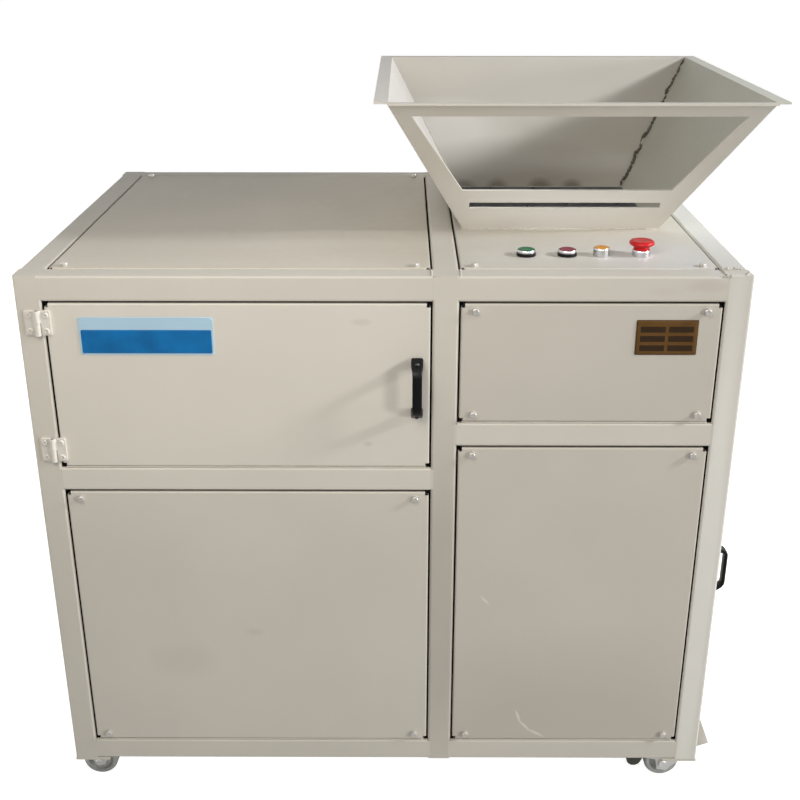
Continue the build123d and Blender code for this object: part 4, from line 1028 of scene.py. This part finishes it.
@dataclass
class WeldBead:
    """Hand-laid weld beads along straight runs, with lumps that never repeat."""

    name: str
    runs: tuple[Run, ...]
    finish: Finish
    radius: float
    lump: float
    seed: int
    jag: tuple[Point, Point] | None = None
    peak: float = 2.0
    pace: float = 0.5
    jag_pace: float = 4.5
    ripple_pace: float = 2.1

    def bead(self, run: Run, random: np.random.Generator) -> np.ndarray:
        """Gives one bead: a round section whose size follows a sine ripple and smoothed noise.

        A jagged bead also strays from its line, to one side or the other, by a random share of
        the two jag vectors that changes every few radii. Each pace is a distance in radii, but
        for the ripple's, which is an angle for each radius.

        Args:
            run: Ends of the bead's line in millimetres.
            random: Source of the lumps.

        Returns:
            Grid of the bead in millimetres.
        """
        ends = np.array(run, float)
        length = np.linalg.norm(ends[1] - ends[0])
        count = int(max(10, length / (self.radius * self.pace)))
        even, line = even_points(ends, count)
        rough = random.normal(0, 1, (count, 3))
        rough = (rough + np.roll(rough, 1, axis=0) + np.roll(rough, -1, axis=0)) / 3
        line = line + rough * self.lump * self.radius * 0.5
        if self.jag is not None:
            knots = np.arange(0, length + 12 * self.radius, self.jag_pace * self.radius)
            stray = np.interp(even, knots, random.uniform(-1, 1, len(knots)))[:, None]
            one, other = np.array(self.jag)
            line = line + np.maximum(stray, 0) * one + np.maximum(-stray, 0) * other
        ripple = 1 + self.lump * (0.5 * np.sin(even / self.radius * self.ripple_pace) + rough[:, 0])
        taper = np.clip(np.minimum(even, even[-1] - even) / (2 * self.radius), 0.15, 1) ** 0.5
        size = np.clip(ripple, 0.3, self.peak) * taper
        turn = np.linspace(0, 2 * np.pi, 10, endpoint=False)
        ring = np.stack([np.cos(turn), np.sin(turn)], axis=1) * self.radius
        up = np.eye(3)[np.abs(ends[1] - ends[0]).argmin()]
        return sweep(line, ring, up + 1e-3, np.stack([size, size * 0.8], axis=1))

    def build(self) -> None:
        """Builds all beads as one piece."""
        random = np.random.default_rng(self.seed)
        shape = Shape()
        for run in self.runs:
            shape.add(self.bead(run, random) * MM)
        shape.build(self.name, self.finish, Body.CABINET, Slot.PAINT, sharp=60.0)


@dataclass
class HopperWelds:
    """The welds of the hopper: its foot on the cover, and the seams where its plates meet inside."""

    foot: Run = ((135.0, -95.0, TOP_Z), (465.0, 245.0, TOP_Z))
    rim: Run = ((7.0, -266.0, 1218.0), (593.0, 351.0, 1218.0))
    wall: float = 3.8
    foot_rise: float = 0.9
    seam_ends: tuple[float, float] = (2.0, -3.0)
    seam_inset: float = 0.6
    rough_inset: float = 2.2
    rough_stops: tuple[float, ...] = (0.0, 0.33, 0.345, 0.71, 0.72, 1.0)
    stray: tuple[Point, Point] = ((-4.5, 0.0, 0.0), (0.0, -4.5, 0.0))

    def corner(self, right: bool, rear: bool, inset: float) -> Run:
        """Gives the ends of an inner corner line, moved in from both plates by an inset."""
        ends = []
        for (low, high), lift in zip((self.foot, self.rim), self.seam_ends):
            x = high[0] - inset if right else low[0] + inset
            y = high[1] - inset if rear else low[1] + inset
            ends.append((x, y, low[2] + lift))
        return ends[0], ends[1]

    def build(self) -> None:
        """Builds the foot's bead outside, three painted seams and the one rough dark seam."""
        (x0, y0, z), (x1, y1, _) = self.foot
        left, right, near, far = x0 - self.wall, x1 + self.wall, y0 - self.wall, y1 + self.wall
        turns = ((left, near), (right, near), (right, far), (left, far), (left, near))
        ring = [(x, y, z + self.foot_rise) for x, y in turns]
        foot = tuple(zip(ring[:-1], ring[1:]))
        WeldBead("hopper_foot_weld", foot, WELD, radius=2.3, lump=0.35, seed=3).build()
        plain = ((False, False), (True, False), (False, True))
        painted = tuple(self.corner(*sides, self.seam_inset) for sides in plain)
        WeldBead("hopper_seam_welds", painted, WELD, radius=1.5, lump=0.4, seed=5).build()
        low, high = np.array(self.corner(True, True, self.rough_inset))
        points = (low + (high - low) * np.array(self.rough_stops)[:, None]).tolist()
        rough = tuple(zip(points[::2], points[1::2]))
        WeldBead("rough_hopper_seam", rough, BURNT_WELD, radius=2.7, lump=0.7, seed=11, jag=self.stray,
                 peak=1.4).build()


@dataclass
class FrameWelds:
    """Rough weld lumps left on the frame's top, at the right front corner and beside the centre posts."""

    post_left: float
    post_right: float
    right: float
    corner_runs: tuple[Run, ...] = (
        ((-1.0, 3.0, 0.3), (-1.0, 39.0, 0.3)), ((2.0, 39.0, 0.3), (36.0, 39.0, 0.3)),
        ((-12.0, 2.0, -0.7), (8.0, 2.0, -0.7)), ((26.0, 7.0, 0.3), (37.0, 17.0, 0.3)))
    post_run: Run = ((0.0, 3.0, 0.3), (0.0, 35.0, 0.3))
    beside: float = 2.0

    @staticmethod
    def shifted(x: float, run: Run) -> Run:
        """Moves a run to a place along the top's front edge."""
        start, end = (np.array(run) + np.array([x, FRONT_Y, TOP_Z])).tolist()
        return start, end

    def build(self) -> None:
        """Builds the lumps as beads across the rails, half sunk in the tubes' faces."""
        corner = tuple(self.shifted(self.right, run) for run in self.corner_runs)
        WeldBead("rough_corner_weld", corner, WELD, radius=1.7, lump=0.9, seed=17).build()
        edges = (self.post_left - self.beside, self.post_right + self.beside)
        middle = tuple(self.shifted(x, self.post_run) for x in edges)
        WeldBead("rough_post_welds", middle, WELD, radius=1.1, lump=0.8, seed=19).build()


# Casters and drive


@dataclass
class Casters:
    """Wheels with a grooved tread and dished sides, and the nuts on their axles."""

    fixed_x: float = -531.0
    turning_x: float = 510.0
    row_y: float = 312.0
    radius: float = 31.5
    width: float = 26.0
    leg_out: float = 16.5
    nut: tuple[float, float] = (13.0, 6.0)

    def wheel(self) -> np.ndarray:
        """Gives a wheel turned about its axle: bore, hub, dish, shoulder and a tread with two grooves."""
        half, r = self.width / 2, self.radius
        side = np.array([[4.3, 0.2 - half], [8.6, 0.2 - half], [9.4, 3.6 - half], [21.6, 3.9 - half],
                         [22.6, 0.3 - half], [27.6, -half], [30.0, 1.3 - half], [r - 0.1, 4.2 - half],
                         [r, -4.6], [r - 1.0, -3.9], [r - 1.0, -3.0], [r, -2.3]])
        corners = np.concatenate([side, side[::-1] * np.array([1, -1]), side[:1]])
        return revolve(soften(corners, 0.9, 3), 64)

    def place(self, x: float, y: float, out: int) -> Place:
        """Gives a frame on an axle, with its normal along the axle to the front or to the rear."""
        return Place((x, y, self.radius), (-out, 0, 0), (0, 0, 1), (0, out, 0))

    def build(self) -> None:
        """Builds the four wheels and the axle nuts on the fixed brackets and the turning forks."""
        front, rear = -self.row_y, self.row_y
        rows = (("left_front", self.fixed_x, front, Body.WHEEL_LEFT_FRONT, Body.CABINET),
                ("left_rear", self.fixed_x, rear, Body.WHEEL_LEFT_REAR, Body.CABINET),
                ("right_front", self.turning_x, front, Body.WHEEL_RIGHT_FRONT, Body.SWIVEL_FRONT),
                ("right_rear", self.turning_x, rear, Body.WHEEL_RIGHT_REAR, Body.SWIVEL_REAR))
        for tag, x, y, body, carrier in rows:
            wheel = Shape().add(self.place(x, y, 1).put(self.wheel()))
            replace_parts(wheel.build(f"grooved_wheel_{tag}", RUBBER, body, Slot.RUBBER), f"wheel_{tag}")
            nuts = Shape()
            for out in (-1, 1):
                nuts.add(self.place(x, y, out).moved(0, 0, self.leg_out).put(hex_head(*self.nut)))
            nuts.build(f"axle_nuts_{tag}", ZINC, carrier, Slot.ZINC, sharp=30.0)


@dataclass(frozen=True)
class BoltCircle:
    """Hexagon bolts in a circle about the shaft line, all facing the motor."""

    name: str
    body: Body
    x: float
    radius: float
    count: int
    start: float
    flats: float
    height: float
    shaft_y: float = 5.0
    shaft_z: float = 856.0

    def build(self) -> None:
        """Builds the heads at even angles a from the start: (r cos a, r sin a) on the face at x."""
        turn = np.radians(self.start + np.arange(self.count) * 360 / self.count)
        spots = np.stack([self.radius * np.cos(turn), self.radius * np.sin(turn), 0 * turn], axis=1)
        place = Place((self.x, self.shaft_y, self.shaft_z), *LEFT_AXES)
        heads = Shape().add(place.put(spots[:, None, None] + hex_head(self.flats, self.height)[None]))
        heads.build(self.name, ZINC, self.body, Slot.ZINC, sharp=30.0)


@dataclass
class DriveBolts:
    """Hexagon bolts of the motor's flange and of the coupling."""

    circles: tuple[BoltCircle, ...] = (
        BoltCircle("motor_flange_bolts", Body.CABINET, -219.3, 76.0, 4, 45.0, 10.0, 6.0),
        BoltCircle("coupling_bolts", Body.FRONT_ROTOR, 5.0, 39.6, 6, 0.0, 9.0, 5.0),
    )

    def build(self) -> None:
        """Builds each circle as a piece."""
        for circle in self.circles:
            circle.build()


# Stage


@dataclass(frozen=True)
class Lamp:
    """A flat lamp: place and target in metres, width, power in watts, tint, height share, beam angle."""

    name: str
    at: Point
    target: Point
    size: float
    power: float
    tint: Colour = (255, 255, 255)
    slim: float = 1.0
    spread: float = 180.0

    def build(self) -> None:
        """Hangs the lamp, turned so that its own -Z axis runs to the target."""
        data = bpy.data.lights.new(self.name, "AREA")
        data.shape, data.size, data.size_y = "RECTANGLE", self.size, self.size * self.slim
        data.energy, data.color, data.spread = self.power, linear(self.tint)[:3], radians(self.spread)
        lamp = bpy.data.objects.new(self.name, data)
        lamp.location = self.at
        x, y, z = np.array(self.target) - np.array(self.at)
        tip, turn = np.arctan2(np.hypot(x, y), -z), np.arctan2(y, x) - np.pi / 2
        lamp.rotation_euler = (float(tip), 0.0, float(turn))
        lamp.visible_camera = False
        bpy.context.scene.collection.objects.link(lamp)


@dataclass
class Studio:
    """Camera, soft lamps, pale floor and white background."""

    camera_at: Point = (0.032, -2.035, 1.472)
    camera_turn: Point = (67.3, 0.0, 0.22)
    lens: float = 51.70
    sensor: float = 36.0
    farthest: float = 100.0
    lamps: tuple[Lamp, ...] = (
        Lamp("side_window", (2.5, -0.40, 2.25), (0.3, -0.1, 1.05), 0.4, 16.0, (214, 232, 255)),
        Lamp("high_window", (3.6, -1.0, 2.6), (0.3, -0.1, 1.05), 0.36, 101.0),
        Lamp("key", (4.9, -3.7, 1.4), (0.0, -0.38, 0.75), 0.8, 108.0),
        Lamp("fill", (-0.4, -1.3, 1.7), (-0.2, -0.38, 0.9), 0.8, 10.5, (255, 251, 244)),
        Lamp("rear_fill", (0.2, 4.0, 0.6), (0.0, 0.38, 0.55), 1.8, 105.0, slim=0.3),
        Lamp("left_fill", (-4.2, 0.5, 0.6), (-0.55, 0.0, 0.55), 1.8, 95.0, slim=0.3),
        Lamp("hopper_bounce", (0.3, -0.40, 1.035), (0.3, -0.12, 1.03), 0.34, 0.075, (226, 236, 255),
             slim=0.06, spread=64.0),
    )
    floor_reach: float = 60.0
    floor_z: float = -4e-4
    floor_grey: tuple[float, ...] = (0.6, 0.6, 0.6, 1.0)
    floor_glow: float = 0.9
    sky: float = 0.12

    def camera(self) -> None:
        """Puts the camera where the object's vanishing lines place it."""
        data = bpy.data.cameras.new("camera")
        data.lens, data.sensor_width, data.sensor_fit = self.lens, self.sensor, "HORIZONTAL"
        data.clip_end = self.farthest
        camera = bpy.data.objects.new("camera", data)
        camera.location = self.camera_at
        camera.rotation_euler = tuple(radians(x) for x in self.camera_turn)
        bpy.context.scene.collection.objects.link(camera)
        bpy.context.scene.camera = camera

    def floor(self) -> None:
        """Lays a pale floor that renders near white and keeps the object's shadow."""
        mesh = bpy.data.meshes.new("floor")
        signs = ((-1, -1), (1, -1), (1, 1), (-1, 1))
        corners = [(x * self.floor_reach, y * self.floor_reach, self.floor_z) for x, y in signs]
        mesh.from_pydata(corners, [], [(0, 1, 2, 3)])
        material = bpy.data.materials.new("pale_floor")
        graph = Graph(material)
        camera_ray = graph.node("ShaderNodeLightPath", {}).outputs["Is Camera Ray"]
        glow = graph.node("ShaderNodeMath", {0: camera_ray, 1: self.floor_glow}, operation="MULTIPLY")
        graph.shade({"Base Color": self.floor_grey, "Roughness": 0.9, "Specular IOR Level": 0.1,
                     "Emission Color": WHITE, "Emission Strength": glow.outputs["Value"]})
        mesh.materials.append(material)
        floor = bpy.data.objects.new("floor", mesh)
        bpy.context.scene.collection.objects.link(floor)

    def world(self) -> None:
        """Makes the background white to camera, transmission and glossy rays, and soft sky otherwise."""
        world = bpy.data.worlds.new("soft_room")
        graph = Graph(world, "Background")
        rays = graph.node("ShaderNodeLightPath", {}).outputs
        seen = rays["Is Camera Ray"]
        for kind in ("Is Transmission Ray", "Is Glossy Ray"):
            either = graph.node("ShaderNodeMath", {0: seen, 1: rays[kind]}, operation="MAXIMUM")
            seen = either.outputs["Value"]
        level = graph.node("ShaderNodeMapRange", {"Value": seen, "To Min": self.sky, "To Max": 1.0})
        graph.shade({"Color": WHITE, "Strength": level.outputs["Result"]})
        bpy.context.scene.world = world

    def build(self) -> None:
        """Sets the stage."""
        self.camera()
        for lamp in self.lamps:
            lamp.build()
        self.floor()
        self.world()
        bpy.context.scene.view_settings.view_transform = "Standard"


# The whole machine


@dataclass
class Cabinet:
    """The frame's outer sizes, from which the bays and fittings take their places."""

    left: float = -515.0
    post_left: float = 75.0
    post_right: float = 115.0
    right: float = 515.0
    end: float = 555.0
    depth: float = 688.0
    low: float = 126.0
    left_rail: tuple[float, float] = (623.0, 663.0)
    right_rail: tuple[float, float] = (702.0, 742.0)
    high: float = 941.0
    tube: float = 40.0
    door_pull_in: float = 23.0
    bin_pull_y: float = 321.0
    bin_pull_z: float = 444.0
    badge_at: tuple[float, float] = (-360.7, 886.1)
    label_at: tuple[float, float] = (431.2, 885.1)

    def bay(self, axes: tuple[Point, Point, Point], u0: float, u1: float, v0: float, v1: float) -> Bay:
        """Makes a bay from its limits along an upright face's across direction and up."""
        across, out = np.array(axes[0], float), np.array(axes[2], float)
        reach = self.end if abs(out[0]) > 0 else -FRONT_Y
        spot = across * (u0 + u1) / 2 + out * reach
        origin = (float(spot[0]), float(spot[1]), (v0 + v1) / 2)
        return Bay(Place(origin, *axes), u1 - u0, v1 - v0)

    def cover(self, x0: float, x1: float) -> Bay:
        """Makes a bay in the top."""
        return Bay(Place(((x0 + x1) / 2, 0.0, TOP_Z), *TOP_AXES), x1 - x0, self.depth)

    def bolted(self) -> tuple[Bay, ...]:
        """Lists the bays whose panels are bolted."""
        half = self.depth / 2
        return (
            self.cover(self.left, self.post_left),
            self.cover(self.post_right, self.right),
            self.bay(FRONT_AXES, self.left, self.post_left, self.low, self.left_rail[0]),
            self.bay(FRONT_AXES, self.post_right, self.right, self.right_rail[1], self.high),
            self.bay(FRONT_AXES, self.post_right, self.right, self.low, self.right_rail[0]),
            self.bay(LEFT_AXES, -half, half, self.low, self.high),
            self.bay(RIGHT_AXES, -half, half, self.right_rail[1], self.high),
            self.bay(REAR_AXES, -self.post_left, -self.left, self.low, self.left_rail[0]),
            self.bay(REAR_AXES, -self.post_left, -self.left, self.left_rail[1], self.high),
            self.bay(REAR_AXES, -self.right, -self.post_right, self.low, self.right_rail[0]),
            self.bay(REAR_AXES, -self.right, -self.post_right, self.right_rail[1], self.high),
        )

    def door(self) -> Bay:
        """Makes the door's bay."""
        return self.bay(FRONT_AXES, self.left, self.post_left, self.left_rail[1], self.high)

    def upright(self) -> tuple[Bay, ...]:
        """Lists the bays of the door and of the bolted panels on the sides."""
        return (self.door(), *(bay for bay in self.bolted() if bay.place.out[2] == 0))

    def gapped(self) -> tuple[Bay, ...]:
        """Lists all bays with a gap round a panel: the bolted ones, the door's and the bin's."""
        half = self.depth / 2
        return (*self.bolted(), self.door(), self.bay(RIGHT_AXES, -half, half, self.low, self.right_rail[0]))

    def joints(self) -> tuple[tuple[Place, float], ...]:
        """Lists the joints of rails and posts on the front, the rear, the ends and the top.

        Each joint has a frame on the face, at the line where the rail's end meets the post, and
        the direction across the face in which the post lies.
        """
        base, crown = self.low - self.tube / 2, self.high + self.tube / 2
        left_z, right_z = sum(self.left_rail) / 2, sum(self.right_rail) / 2
        posts = ((self.left, -1, left_z), (self.post_left, 1, left_z),
                 (self.post_right, -1, right_z), (self.right, 1, right_z))
        ends = [(x, side, z) for x, side, rail in posts for z in (base, rail, crown)]
        spots = [(on_front(x, z), side) for x, side, z in ends]
        spots += [(Place((x, -FRONT_Y, z), *REAR_AXES), -side) for x, side, z in ends]
        half = self.depth / 2
        for side in (-1, 1):
            spots += [(Place((-self.end, side * half, z), *LEFT_AXES), -side) for z in (base, crown)]
            spots += [(Place((self.end, side * half, z), *RIGHT_AXES), side) for z in (base, right_z, crown)]
            row = side * (half + self.tube / 2)
            spots += [(Place((x, row, TOP_Z), *TOP_AXES), way) for x, way, _ in posts]
        return tuple(spots)

    def door_pull(self) -> Place:
        """Gives the frame of the door's pull, near the centre post and half way up the door."""
        return on_front(self.post_left - self.door_pull_in, (self.left_rail[1] + self.high) / 2)

    def bin_pulls(self) -> tuple[Place, ...]:
        """Gives the frames of the bin's two pulls."""
        rows = (-self.bin_pull_y, self.bin_pull_y)
        return tuple(Place((self.end, y, self.bin_pull_z), *RIGHT_AXES) for y in rows)


def dress_frame() -> None:
    """Gives every CAD node its own finish, or the finish of its material slot."""
    for part in frame["record"]["subparts"]:
        node = frame["nodes"][part["node"]]
        node.data.materials.clear()
        finish = NODE_FINISH.get(part["node"], SLOT_FINISH[Slot(part["material_slot"])])
        node.data.materials.append(finish.material())
    log.info("dressed %d CAD nodes", len(frame["nodes"]))


def main() -> None:
    """Builds the stage, the finishes and the pieces in order."""
    logging.basicConfig(level=logging.INFO, format="%(message)s")
    cabinet = Cabinet()
    Studio().build()
    dress_frame()
    PanelBolts(cabinet.bolted()).build()
    GapShadeStrips(cabinet.gapped()).build()
    PanelSills(cabinet.upright()).build()
    GroundJoints(cabinet.joints()).build()
    LeafHinge().build()
    BridgePull("door_pull", (cabinet.door_pull(),), Body.DOOR, "door_handle").build()
    BridgePull("bin_pulls", cabinet.bin_pulls(), Body.BIN, "bin_handles").build()
    ControlRow().build()
    BlankBadge(on_front(*cabinet.badge_at)).build()
    BlankLabel(on_front(*cabinet.label_at)).build()
    HopperWelds().build()
    FrameWelds(cabinet.post_left, cabinet.post_right, cabinet.right).build()
    Casters().build()
    DriveBolts().build()


if __name__ == "__main__":
    main()
